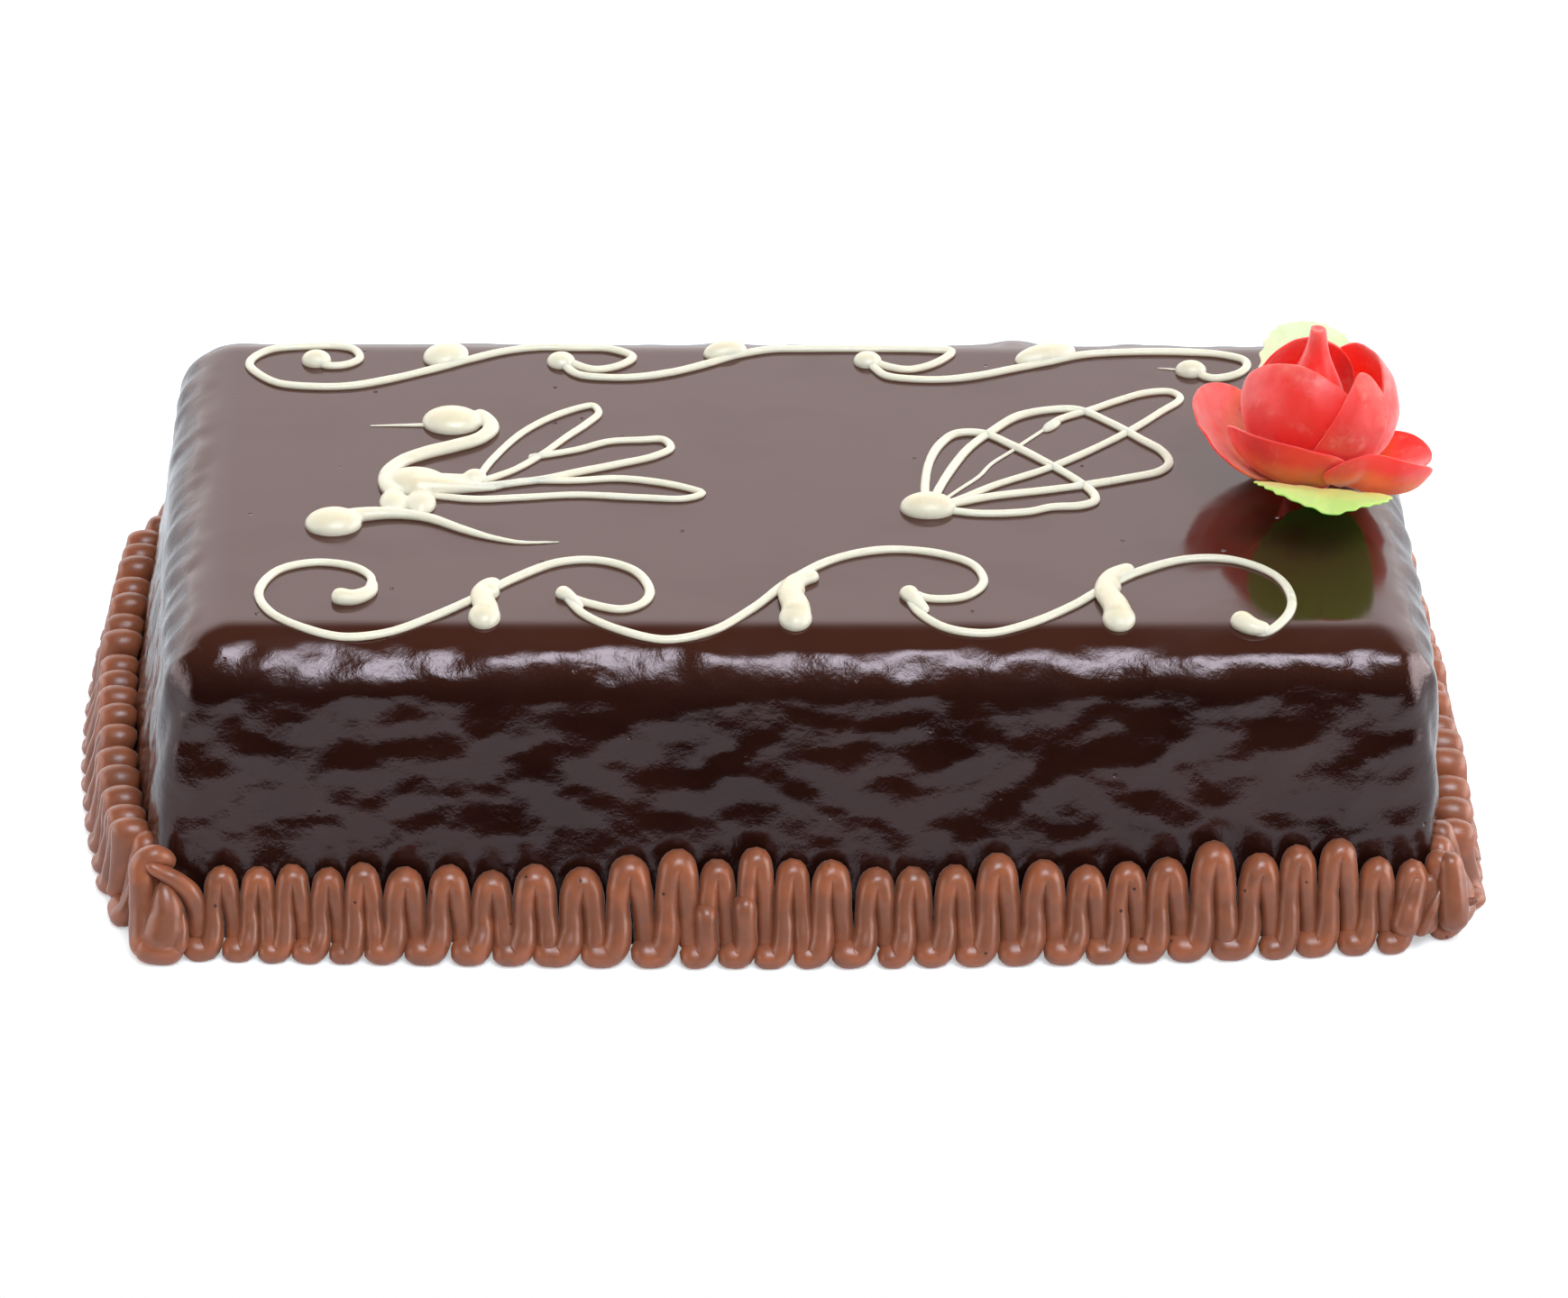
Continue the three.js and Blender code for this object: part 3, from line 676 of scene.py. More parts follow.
@dataclass(frozen=True)
class PetalFinish:
    """Red wafer: matt, thin enough to glow, orange towards the root, pale along the rim.

    Attributes:
        root: its colour at the root.
        body: its colour over most of the petal.
        rim: its colour along the rim.
        rubbed_and_sheen: its paler colour where it is rubbed and where a sheen is painted on.
        shade: its colour in darker clouds.
        steps: how far up the petal root, body, body and rim stand.
        mottle: how far those colours wander up and down.
        mottle_size: the size of one such wandering.
        cloud: the most of the shade in a cloud.
        cloud_size: the size of one cloud.
        cloud_steps: where the noise turns from a cloud to none.
        rub: the most of that paler colour in one patch of wear and painted sheen.
        wear_and_sheen_size: the size of one such patch.
        wear_and_sheen_steps: where the noise turns from none to such a patch.
        index: its refractive index.
        gloss: its roughness, at the least and at the most.
        gloss_size: the size of one blotch of gloss.
        grain_size: the size of its fine relief.
        grain_depth: how deep that relief is.
        tint: the tint of its sheen.
    """

    root: Colour = (0.88, 0.17, 0.025)
    body: Colour = (0.95, 0.036, 0.028)
    rim: Colour = (0.97, 0.11, 0.09)
    rubbed_and_sheen: Colour = (0.98, 0.26, 0.20)
    shade: Colour = (0.72, 0.016, 0.016)
    steps: Sequence[float] = (0.12, 0.46, 0.82, 1.0)
    mottle: float = 0.12
    mottle_size: float = 3.5
    cloud: float = 0.28
    cloud_size: float = 5.0
    cloud_steps: Point = (0.30, 0.52)
    rub: float = 0.55
    wear_and_sheen_size: float = 7.0
    wear_and_sheen_steps: Point = (0.52, 0.74)
    index: float = 1.45
    gloss: Point = (0.34, 0.52)
    gloss_size: float = 2.0
    grain_size: float = 0.9
    grain_depth: float = 0.05
    tint: Colour = (1.0, 0.66, 0.63)

    def material(self) -> bpy.types.Material:
        """Builds the material.

        Returns:
            The material.
        """
        mat = Nodes("wafer_petal")
        reach = mat.add("ShaderNodeAttribute", attribute_name="reach").outputs["Fac"]
        drift = mat.noise(self.mottle_size, detail=3, rough=0.6)
        mottle = mat.math("MULTIPLY_ADD", drift, 2 * self.mottle, -self.mottle)
        plain_red = mat.ramp(mat.math("ADD", reach, mottle),
                             *zip(self.steps, (self.root, self.body, self.body, self.rim)))
        cloud = mat.range(mat.noise(self.cloud_size, detail=4, rough=0.65), *self.cloud_steps,
                          self.cloud, 0.0)
        # Partly wear, partly painted sheen: pale patches where the wafer is rubbed and where its
        # sheen is painted on.
        wear_and_sheen_mask = mat.range(mat.noise(self.wear_and_sheen_size, detail=6, rough=0.7), *self.wear_and_sheen_steps,
                         0.0, self.rub)
        mat.set(Base_Color=mat.mix(wear_and_sheen_mask, mat.mix(cloud, plain_red, self.shade), self.rubbed_and_sheen))
        mat.set(Roughness=mat.uneven(self.gloss_size, *self.gloss), IOR=self.index)
        mat.set(Normal=mat.bump(mat.noise(self.grain_size, detail=3, rough=0.6), self.grain_depth))
        mat.bloom(weight=0.85, rough=0.4, tint=self.tint)
        mat.glow(weight=0.6, depth=0.006, radius=(1.0, 0.22, 0.12))
        return mat.material


@dataclass(frozen=True)
class LeafFinish:
    """Green wafer: matt and bright, yellower along the middle, deeper green underneath.

    Attributes:
        edge: its colour towards the tip.
        middle: its colour towards the root.
        under: its colour underneath.
        steps: how far up the leaf middle and edge stand.
        mottle: how far those colours wander up and down.
        mottle_size: the size of one such wandering.
        turn: how far the surface faces up where under turns into those colours.
        index: its refractive index.
        gloss: its roughness, at the least and at the most.
        gloss_size: the size of one blotch of gloss.
        grain_size: the size of its fine relief.
        grain_depth: how deep that relief is.
    """

    edge: Colour = (0.48, 0.76, 0.18)
    middle: Colour = (0.76, 0.72, 0.21)
    under: Colour = (0.06, 0.50, 0.03)
    steps: Point = (0.45, 0.8)
    mottle: float = 0.25
    mottle_size: float = 5.0
    turn: Point = (-0.15, 0.05)
    index: float = 1.4
    gloss: Point = (0.5, 0.62)
    gloss_size: float = 2.0
    grain_size: float = 0.7
    grain_depth: float = 0.04

    def material(self, name: str) -> bpy.types.Material:
        """Builds the material.

        Args:
            name: the material's name.

        Returns:
            The material.
        """
        mat = Nodes(name)
        reach = mat.add("ShaderNodeAttribute", attribute_name="reach").outputs["Fac"]
        drift = mat.noise(self.mottle_size, detail=3, rough=0.6)
        mottle = mat.math("MULTIPLY_ADD", drift, 2 * self.mottle, -self.mottle)
        upper = mat.ramp(mat.math("ADD", reach, mottle), *zip(self.steps, (self.middle, self.edge)))
        facing = mat.add("ShaderNodeNewGeometry").outputs["Normal"]
        climb = mat.add("ShaderNodeSeparateXYZ", Vector=facing).outputs["Z"]
        mat.set(Base_Color=mat.mix(mat.range(climb, *self.turn), self.under, upper))
        mat.set(Roughness=mat.uneven(self.gloss_size, *self.gloss), IOR=self.index)
        mat.set(Normal=mat.bump(mat.noise(self.grain_size, detail=2, rough=0.6), self.grain_depth))
        mat.glow(weight=0.6, depth=0.004, radius=(0.4, 1.0, 0.15))
        return mat.material


# The glazed block

class Side(Enum):
    """The cake's walls, numbered in quarter turns from the front."""

    FRONT = 0
    RIGHT = 1
    BACK = 2
    LEFT = 3


class Corner(Enum):
    """The cake's corners, numbered in quarter turns from the front left."""

    FRONT_LEFT = 0
    FRONT_RIGHT = 1
    BACK_RIGHT = 2
    BACK_LEFT = 3


@dataclass(frozen=True)
class Wall:
    """How a wall's foot stands out beyond the top's edge: most in the middle, less at its ends.

    Attributes:
        middle: how far out the foot is in the middle.
        first: how much less it is where the wall begins, going round from the front left.
        last: how much less it is where the wall ends.
    """

    middle: float
    first: float
    last: float

    def foot(self, share: float) -> float:
        """Returns how far out the foot is, from -1 where the wall begins to 1 where it ends."""
        return self.middle - (self.first if share < 0 else self.last) * share * share


@dataclass(frozen=True)
class Wave:
    """One layer of soft waves in the glaze.

    Attributes:
        height: how high the waves stand.
        size: how long one is along x, y and z, without end where they only run on.
        shift: moves the pattern, in waves.
        drop: how far a wave sinks for each millimetre of x.
        slide: how far a wave moves back along y for each millimetre of height.
    """

    height: float
    size: Colour
    shift: Colour = (0.0, 0.0, 0.0)
    drop: float = 0.0
    slide: float = 0.0

    def at(self, p: Vector) -> float:
        """Returns how far the layer stands proud at a point."""
        place = (p.x, p.y + self.slide * p.z, p.z - self.drop * p.x)
        return self.height * noise.noise(Vector([value / size + shift for value, size, shift
                                                 in zip(place, self.size, self.shift)]))


@dataclass(frozen=True)
class Block:
    """The glazed cake: a rounded block whose walls lean back and swell, under waves of glaze.

    Attributes:
        length: the length of the top, before its edges are rounded.
        depth: the depth of the top.
        height: the height of the block.
        x: how far the top's middle is to the right of the frame's.
        y: how far it is to the back.
        rim_across: how far in from a wall the rounding begins.
        rim_down: how far down from the top it ends.
        squareness: how square the corners are seen from above, at the foot and at the top.
        cell: the size of one face of the skin.
        front, right, back, left: the walls.
        wall_waves: the waves on the long walls.
        end_waves: the runs of glaze on the short walls.
        top_wave: the waves on the top.
        steep: how far up a face looks where the walls' waves begin to fade, and have faded.
        end_steep: the same on the short walls.
        end_facing: how far a face looks along x where the short walls' runs come in.
        calm_foot: how far up from the foot the waves take to come in.
    """

    length: float = 245.5
    depth: float = 130.0
    height: float = 62.5
    x: float = 1.25
    y: float = 0.25
    rim_across: float = 12.0
    rim_down: float = 11.0
    squareness: Point = (5.0, 2.4)
    cell: float = 1.1
    front: Wall = Wall(7.5, 3.4, 5.5)
    right: Wall = Wall(5.3, 2.4, 2.0)
    back: Wall = Wall(7.0, 3.0, 3.0)
    left: Wall = Wall(11.5, 6.0, 7.5)
    wall_waves: Sequence[Wave] = (
        Wave(0.45, (34.0, 34.0, 24.0)), Wave(1.15, (17.0, 17.0, 12.5), (3.0, 0.0, 0.0), drop=0.3),
        Wave(0.72, (7.5, 7.5, 5.6), drop=0.12), Wave(0.2, (3.6, 3.6, 2.4), (9.0, 0.0, 0.0)))
    end_waves: Sequence[Wave] = (
        Wave(0.3, (34.0, 34.0, 24.0)), Wave(0.85, (math.inf, 5.0, 22.0), (4.0, 0.0, 0.0), slide=0.2),
        Wave(0.6, (math.inf, 13.0, 11.0), (8.0, 0.0, 0.0)),
        Wave(0.18, (math.inf, 2.2, 14.0), (2.0, 0.0, 0.0), slide=-0.1))
    top_wave: Wave = Wave(0.05, (45.0, 45.0, math.inf), (0.0, 0.0, 3.0))
    steep: Point = (0.72, 0.985)
    end_steep: Point = (0.9, 0.995)
    end_facing: Point = (0.45, 0.9)
    calm_foot: float = 6.0

    def wall(self, side: Side) -> Wall:
        """Returns the wall on a side."""
        return (self.front, self.right, self.back, self.left)[side.value]

    def half(self, side: Side) -> float:
        """Returns half the top's length along a side."""
        return (self.depth if side.value % 2 else self.length) / 2

    def edge(self, side: Side) -> float:
        """Returns how far the top's edge is from the middle of the room on a side."""
        across = (-self.y, self.x, self.y, -self.x)[side.value]
        return (self.length if side.value % 2 else self.depth) / 2 + across

    def foot(self, side: Side, along: float) -> float:
        """Returns how far a wall's foot is from the middle of the room.

        Args:
            side: the wall.
            along: the place along it, counted the way that runs round the cake from the front left.

        Returns:
            The distance in millimetres.
        """
        return self.edge(side) + self.wall(side).foot(along / self.half(side))

    def flared(self, p: Vector) -> Vector:
        """Leans the walls.

        Args:
            p: a point of the upright block.

        Returns:
            The point as the leaning walls carry it.
        """
        fall = 1 - p.z / self.height
        x, y = 2 * p.x / self.length, 2 * p.y / self.depth
        level = self.right.foot(y) if x > 0 else self.left.foot(-y)
        upright = self.back.foot(-x) if y > 0 else self.front.foot(x)
        return Vector((p.x + level * x * fall + self.x, p.y + upright * y * fall + self.y, p.z))

    def rounded(self, q: Vector) -> tuple[Vector, Vector]:
        """Rounds a place on the square block.

        Args:
            q: a point on the faces of the block before its edges are rounded.

        Returns:
            The point on the rounded upright block, and the way that its surface faces.
        """
        room = Vector((self.length / 2 - self.rim_across, self.depth / 2 - self.rim_across,
                       self.height - self.rim_down))
        core = Vector((max(-room.x, min(room.x, q.x)), max(-room.y, min(room.y, q.y)),
                       min(room.z, q.z)))
        away = q - core
        x, y, z = (away.x / self.rim_across, away.y / self.rim_across, away.z / self.rim_down)
        power = lerp(*self.squareness, smoothstep(0, self.height, core.z + z * self.rim_down))
        level = (abs(x) ** power + abs(y) ** power) ** (1 / power)
        size = math.hypot(level, z)
        p = core + away / size
        return p, Vector((x, y, z)).normalized()

    def relief(self, p: Vector, facing: Vector) -> float:
        """Lays the waves of the glaze.

        Args:
            p: a point on the plain block.
            facing: the way that its surface faces there.

        Returns:
            How far the glaze stands proud of it.
        """
        upright = 1 - smoothstep(*self.steep, facing.z)
        end = smoothstep(*self.end_facing, abs(facing.x))
        wall = lerp(sum(wave.at(p) for wave in self.wall_waves),
                    sum(wave.at(p) for wave in self.end_waves), end)
        upright = max(upright, end * (1 - smoothstep(*self.end_steep, facing.z)))
        return lerp(self.top_wave.at(p), wall, upright) * smoothstep(0, self.calm_foot, p.z)

    def top_height(self, x: float, y: float) -> float:
        """Finds the glaze under a place on the top.

        Args:
            x: the place along the cake.
            y: the place across it.

        Returns:
            The glaze's height.
        """
        out_x = max(0.0, abs(x - self.x) - self.length / 2 + self.rim_across) / self.rim_across
        out_y = max(0.0, abs(y - self.y) - self.depth / 2 + self.rim_across) / self.rim_across
        out = min(0.98, math.hypot(out_x, out_y))
        return self.height - self.rim_down * (1 - math.sqrt(1 - out * out))

    def build(self, finish: bpy.types.Material) -> bpy.types.Object:
        """Builds the glazed block as one closed skin.

        Args:
            finish: the glaze's material.

        Returns:
            The piece.
        """
        bm = bmesh.new()
        bmesh.ops.create_cube(bm, size=1)
        spans = (self.length, self.depth, self.height)
        for axis, span in enumerate(spans):
            along = [e for e in bm.edges
                     if abs((e.verts[0].co - e.verts[1].co)[axis]) > 0.5]
            bmesh.ops.subdivide_edges(bm, edges=along, cuts=round(span / self.cell),
                                      use_grid_fill=True)
        under = [f for f in bm.faces if f.normal.z < -0.9]
        bmesh.ops.dissolve_faces(bm, faces=under)
        bmesh.ops.scale(bm, vec=spans, verts=bm.verts)
        bmesh.ops.translate(bm, vec=(0, 0, self.height / 2), verts=bm.verts)
        for vert in bm.verts:
            p, facing = self.rounded(vert.co)
            placed = self.flared(p)
            vert.co = placed + facing * self.relief(placed, facing)
        return stand_in(to_object("cake_glaze", bm, finish), "chocolate_glaze", "glazed_cake")


# The border

class Toe(Enum):
    """How a leg comes down to the toe of the next arch."""

    HEAD = "h"
    SADDLE = "s"
    FOLD = "f"


@dataclass(frozen=True)
class Arch:
    """One pull of the nozzle: a rounded toe, a leg up the wall, a crown and a leg down.

    Attributes:
        crown: where the crown stands along the wall.
        before: the distance to the crown before it.
        after: the distance to the crown after it.
        height: how high the crown's top is.
        toe: the kind of its own toe.
        next_toe: the kind of the toe that its last leg comes down to.
        rope: the rope's radius.
        sway: how far the toe and the last leg stray, from -1 to 1.
        heel_share: the toe's radius as a share of the distance before the crown.
        heel_least: the least that the toe's radius is.
        heel_most: the most that it is.
    """

    crown: float
    before: float
    after: float
    height: float
    toe: Toe
    next_toe: Toe
    rope: float
    sway: float = 0.0
    heel_share: float = 0.355
    heel_least: float = 2.4
    heel_most: float = 3.0

    def routes(self, reach: float, lean: float, deep: float) -> list[list[Vector]]:
        """Lays the rope's turning points, and those of a fold in front of it if it has one.

        Args:
            reach: how far the toes stand out from the wall's foot.
            lean: how far the wall draws back for each millimetre of height.
            deep: the share by which the rope's section is drawn out from the wall.

        Returns:
            The ropes, each a list of points as along, out, height and radius.
        """
        r = self.rope
        before, after = self.before, self.after
        heel = min(self.heel_most, max(self.heel_least, self.heel_share * before))
        top = self.height - r
        toe = reach - heel * (1 + deep)

        def on_wall(z: float) -> float:
            """Returns how far out the rope's middle is when it rests on the wall."""
            return r * (1 + deep) + 0.1 - lean * z

        def leg(along: float, share: float, forward: float, radius: float) -> Vector:
            """Returns a point of a leg, a share of the way up and from the wall to the toes."""
            z = share * top
            return Vector((self.crown + along, lerp(on_wall(z), toe, forward), z, radius))

        start = self.crown - (1.0 + 0.05 * self.sway) * before
        low = 0.86 * heel
        tip = [Vector((start, toe - 0.3, low, 1.06 * heel)),
               Vector((start + 0.15 * before, toe, low, 1.02 * heel)),
               Vector((self.crown - 0.40 * before, toe + 0.1, low, heel)),
               Vector((self.crown - 0.28 * before, toe - 0.3, 1.4 * heel, 1.22 * r))]
        fold = []
        if self.toe is Toe.FOLD:
            fold = tip + [leg(-0.27 * before, 0.42, 0.78, 1.12 * r),
                          leg(-0.29 * before, 0.58, 0.62, 1.14 * r),
                          leg(-0.30 * before, 0.70, 0.44, 1.0 * r)]
            tip = [leg(-0.22 * before, 0.25, 0.1, r), leg(-0.22 * before, 0.42, 0.12, r)]
        else:
            tip += [leg(-0.22 * before, 0.42, 0.60, 1.06 * r)]
        crown = [leg(-0.235 * before, 0.60, 0.38, 0.96 * r), leg(-0.20 * before, 0.82, 0.18, 1.0 * r),
                 Vector((self.crown - 0.12 * before, on_wall(top) + 0.3, top - 0.3 * r, 1.02 * r)),
                 Vector((self.crown, on_wall(top), top - 0.02 * r, 1.02 * r)),
                 Vector((self.crown + 0.12 * after, on_wall(top) + 0.1, top - 0.32 * r, 1.02 * r)),
                 leg(0.205 * after, 0.80, 0.13, 1.0 * r)]
        if self.next_toe is Toe.SADDLE:
            crown += [leg(0.26 * after, 0.55, 0.36, 0.95 * r),
                      leg(0.30 * after, 0.32, 0.74, 1.05 * r),
                      Vector((self.crown + 0.31 * after, toe - 0.2, 1.05 * heel, 1.1 * r)),
                      Vector((self.crown + 0.42 * after, toe, low, heel))]
        else:
            swing = (0.32 + 0.04 * self.sway) * after
            crown += [leg(0.84 * swing, 0.55, 0.24, 0.95 * r), leg(swing, 0.30, 0.42, 1.0 * r),
                      Vector((self.crown + 1.05 * swing, lerp(on_wall(0), toe, 0.52), 1.3 * r,
                              1.05 * r)),
                      Vector((self.crown + 1.1 * swing, lerp(on_wall(0), toe, 0.56), 0.9 * r,
                              1.05 * r))]
        return [route for route in (tip + crown, fold) if route]


@dataclass(frozen=True)
class Rope:
    """A rope of cream.

    Attributes:
        points: its turning points, each x, y, z and radius.
        facing: the way out from the wall that it lies on.
        deep: the share by which its section is drawn out that way.
    """

    points: Sequence[Vector]
    facing: Colour = (0.0, 0.0, 0.0)
    deep: float = 0.0


# How far apart a rope's rings are and how many faces each has
ROPE_STEP, ROPE_FACES = 0.6, 18
# How uneven the cream is, and the size of one swelling
CREAM_UNEVEN, CREAM_SWELLING = 0.16, 2.8
# How far the cream's underside stays above the floor
FLOOR_GAP = 0.03


def piped(name: str, ropes: Sequence[Rope], seed: float,
          finish: bpy.types.Material) -> bpy.types.Object:
    """Pipes ropes of cream that press against each other.

    Args:
        name: the piece's name.
        ropes: the ropes.
        seed: shifts the unevenness.
        finish: the cream's material.

    Returns:
        The piece.
    """
    bm = bmesh.new()
    for rope in ropes:
        sweep(bm, rounded_ends(rounded_route(rope.points, ROPE_STEP)), ROPE_FACES,
              facing=rope.facing, deep=rope.deep)
    roughen(bm, CREAM_UNEVEN, CREAM_SWELLING, seed)
    for vert in bm.verts:
        vert.co.z = max(FLOOR_GAP, vert.co.z)
    return to_object(f"piped_{name}", bm, finish)


@dataclass
class BorderRun:
    """One straight run of the border, piped from one end of a wall to the other.

    Attributes:
        side: the wall.
        block: the cake.
        crowns: where each crown stands along the wall and how high its top is.
        toes: the kind of toe before each crown, one letter each.
        reach: how far the toes stand out from the wall's foot.
        seed: shifts the unevenness of the cream.
        deep: the share by which the rope's section is drawn out from the wall.
        rope_share: the rope's radius as a share of the distance between the crowns beside it.
        rope_least: the least that the rope's radius is.
        rope_most: the most that it is.
    """

    side: Side
    block: Block
    crowns: Sequence[Point]
    toes: str
    reach: float
    seed: int
    deep: float = 0.9
    rope_share: float = 0.14
    rope_least: float = 1.95
    rope_most: float = 2.45

    @classmethod
    def even(cls, side: Side, block: Block, loops: int, half: float, height: float, reach: float,
             seed: int) -> "BorderRun":
        """Spaces a run's arches a little unevenly.

        Args:
            side: the wall.
            block: the cake.
            loops: how many arches it has.
            half: half the run's length.
            height: the mean height of the crowns' tops.
            reach: how far the toes stand out.
            seed: picks the unevenness.

        Returns:
            The run.
        """
        width_play, height_play, kinds = 0.15, 1.2, "hhhs"
        rng = random.Random(seed)
        steps = [1 + width_play * (2 * rng.random() - 1) for _ in range(loops)]
        unit = 2 * half / sum(steps)
        crowns, at = [], -half
        for step in steps:
            crowns.append((at + step * unit / 2, height + height_play * (2 * rng.random() - 1)))
            at += step * unit
        toes = "".join(rng.choice(kinds) for _ in steps)
        return cls(side, block, crowns, toes, reach, seed)

    def arches(self) -> list[Arch]:
        """Lays out the run's arches.

        Returns:
            The arches in order.
        """
        rng = random.Random(self.seed + 100)
        made = []
        last = len(self.crowns) - 1
        for i, (crown, height) in enumerate(self.crowns):
            back, on = max(i, 1), min(i, last - 1)
            before = self.crowns[back][0] - self.crowns[back - 1][0]
            after = self.crowns[on + 1][0] - self.crowns[on][0]
            rope = min(self.rope_most, max(self.rope_least, self.rope_share * (before + after)))
            made.append(Arch(crown, before, after, height, Toe(self.toes[i]),
                             Toe(self.toes[min(i + 1, last)]), rope, 2 * rng.random() - 1))
        return made

    def placed(self, point: Vector) -> Vector:
        """Carries a point of the run into the room.

        Args:
            point: the point along the wall, out from its foot, its height and a radius.

        Returns:
            The point as x, y, z and the radius.
        """
        turn = Matrix.Rotation(self.side.value * math.pi / 2, 3, "Z")
        out = self.block.foot(self.side, point.x) + point.y
        return Vector((*(turn @ Vector((point.x, -out, point.z))), point.w))

    def build(self, finish: bpy.types.Material) -> bpy.types.Object:
        """Builds the run as one piece.

        Args:
            finish: the cream's material.

        Returns:
            The piece.
        """
        name = self.side.name.lower()
        facing = ((0, -1, 0), (1, 0, 0), (0, 1, 0), (-1, 0, 0))[self.side.value]
        ropes = []
        for arch in self.arches():
            wall = self.block.foot(self.side, arch.crown) - self.block.edge(self.side)
            ropes += [Rope([self.placed(point) for point in route], facing, self.deep)
                      for route in arch.routes(self.reach, wall / self.block.height, self.deep)]
        piece = piped(name, ropes, self.seed, finish)
        return stand_in(piece, "border_cream", f"border_{name}")


@dataclass
class BorderCorner:
    """The rope's turn round one corner: a small fan of arches, with listed folds of cream.

    Attributes:
        corner: the corner.
        block: the cake.
        turns: where each arch of the fan stands, as a share of the turn, and its height.
        folds: more ropes, each by its points from the front wall's foot as x, out, z and radius.
        reach: how far the toes stand out from the corner's foot.
        radius: the radius of the corner's foot.
        seed: shifts the unevenness of the cream.
        deep: the share by which the rope's section is drawn out from the corner.
        rope: the radius of the fan's rope.
        loops: how many arches would fill the turn.
        lean: how far the corner draws back for each millimetre of height.
    """

    corner: Corner
    block: Block
    turns: Sequence[Point] = ((0.1, 18.4), (0.5, 19.2), (0.9, 18.0))
    folds: Sequence[Sequence[tuple[float, float, float, float]]] = ()
    reach: float = 9.0
    radius: float = 9.0
    seed: int = 5
    deep: float = 0.3
    rope: float = 1.95
    loops: float = 2.6
    lean: float = 0.11

    def near(self, side: Side) -> int:
        """Returns which end of a wall this corner is at, -1 where it begins or 1."""
        return -1 if side.value == self.corner.value else 1

    def angle(self, along: float) -> float:
        """Returns the direction in which a place along the turn lies from the corner's middle."""
        return math.pi + self.corner.value * math.pi / 2 + along / self.radius

    def placed(self, point: Vector) -> Vector:
        """Carries a point of the corner into the room.

        Args:
            point: the point along the turn, out from its foot, its height and a radius.

        Returns:
            The point as x, y, z and the radius.
        """
        to_x, to_y = ((-1, -1), (1, -1), (1, 1), (-1, 1))[self.corner.value]
        beside = Side.RIGHT if to_x > 0 else Side.LEFT
        below = Side.BACK if to_y > 0 else Side.FRONT
        x = self.block.edge(beside) + self.block.wall(beside).foot(self.near(beside))
        y = self.block.edge(below) + self.block.wall(below).foot(self.near(below))
        middle = Vector((to_x * (x - self.radius), to_y * (y - self.radius)))
        angle = self.angle(point.x)
        out = self.radius + point.y
        return Vector((middle.x + out * math.cos(angle), middle.y + out * math.sin(angle),
                       point.z, point.w))

    def build(self, finish: bpy.types.Material) -> bpy.types.Object:
        """Builds the corner as one piece.

        Args:
            finish: the cream's material.

        Returns:
            The piece.
        """
        name = self.corner.name.lower()
        length = self.radius * math.pi / 2
        pitch = length / self.loops
        ropes = []
        for share, height in self.turns:
            arch = Arch(share * length, pitch, pitch, height, Toe.HEAD, Toe.HEAD, self.rope)
            angle = self.angle(arch.crown)
            facing = (math.cos(angle), math.sin(angle), 0)
            ropes += [Rope([self.placed(point) for point in route], facing, self.deep)
                      for route in arch.routes(self.reach, self.lean, self.deep)]
        ropes += [Rope([Vector((x, -(self.block.foot(Side.FRONT, x) + out), z, radius))
                        for x, out, z, radius in fold]) for fold in self.folds]
        piece = piped(name, ropes, self.seed, finish)
        return stand_in(piece, "border_cream", f"corner_{name}")


# The front run as it was piped: each crown's place along the wall and the height of its top
FRONT_CROWNS: tuple[Point, ...] = (
    (-111.5, 17.3), (-104.4, 17.3), (-97.8, 17.9), (-90.8, 17.3), (-84.2, 18.5), (-76.0, 17.9),
    (-67.4, 18.5), (-59.1, 17.3), (-50.9, 18.9), (-41.6, 18.3), (-32.5, 21.0), (-22.9, 22.3),
    (-15.4, 20.0), (-7.9, 22.5), (-0.8, 20.0), (6.7, 20.0), (15.7, 18.3), (22.7, 18.3),
    (31.0, 18.7), (39.1, 21.2), (48.3, 19.7), (56.8, 18.3), (64.7, 18.9), (72.4, 19.7),
    (81.4, 23.1), (90.8, 20.2), (98.1, 21.6), (106.1, 22.9), (114.0, 18.3), (121.0, 17.4))
FRONT_TOES = "hhshhshhssshffhshhhshhhhhshhhh"

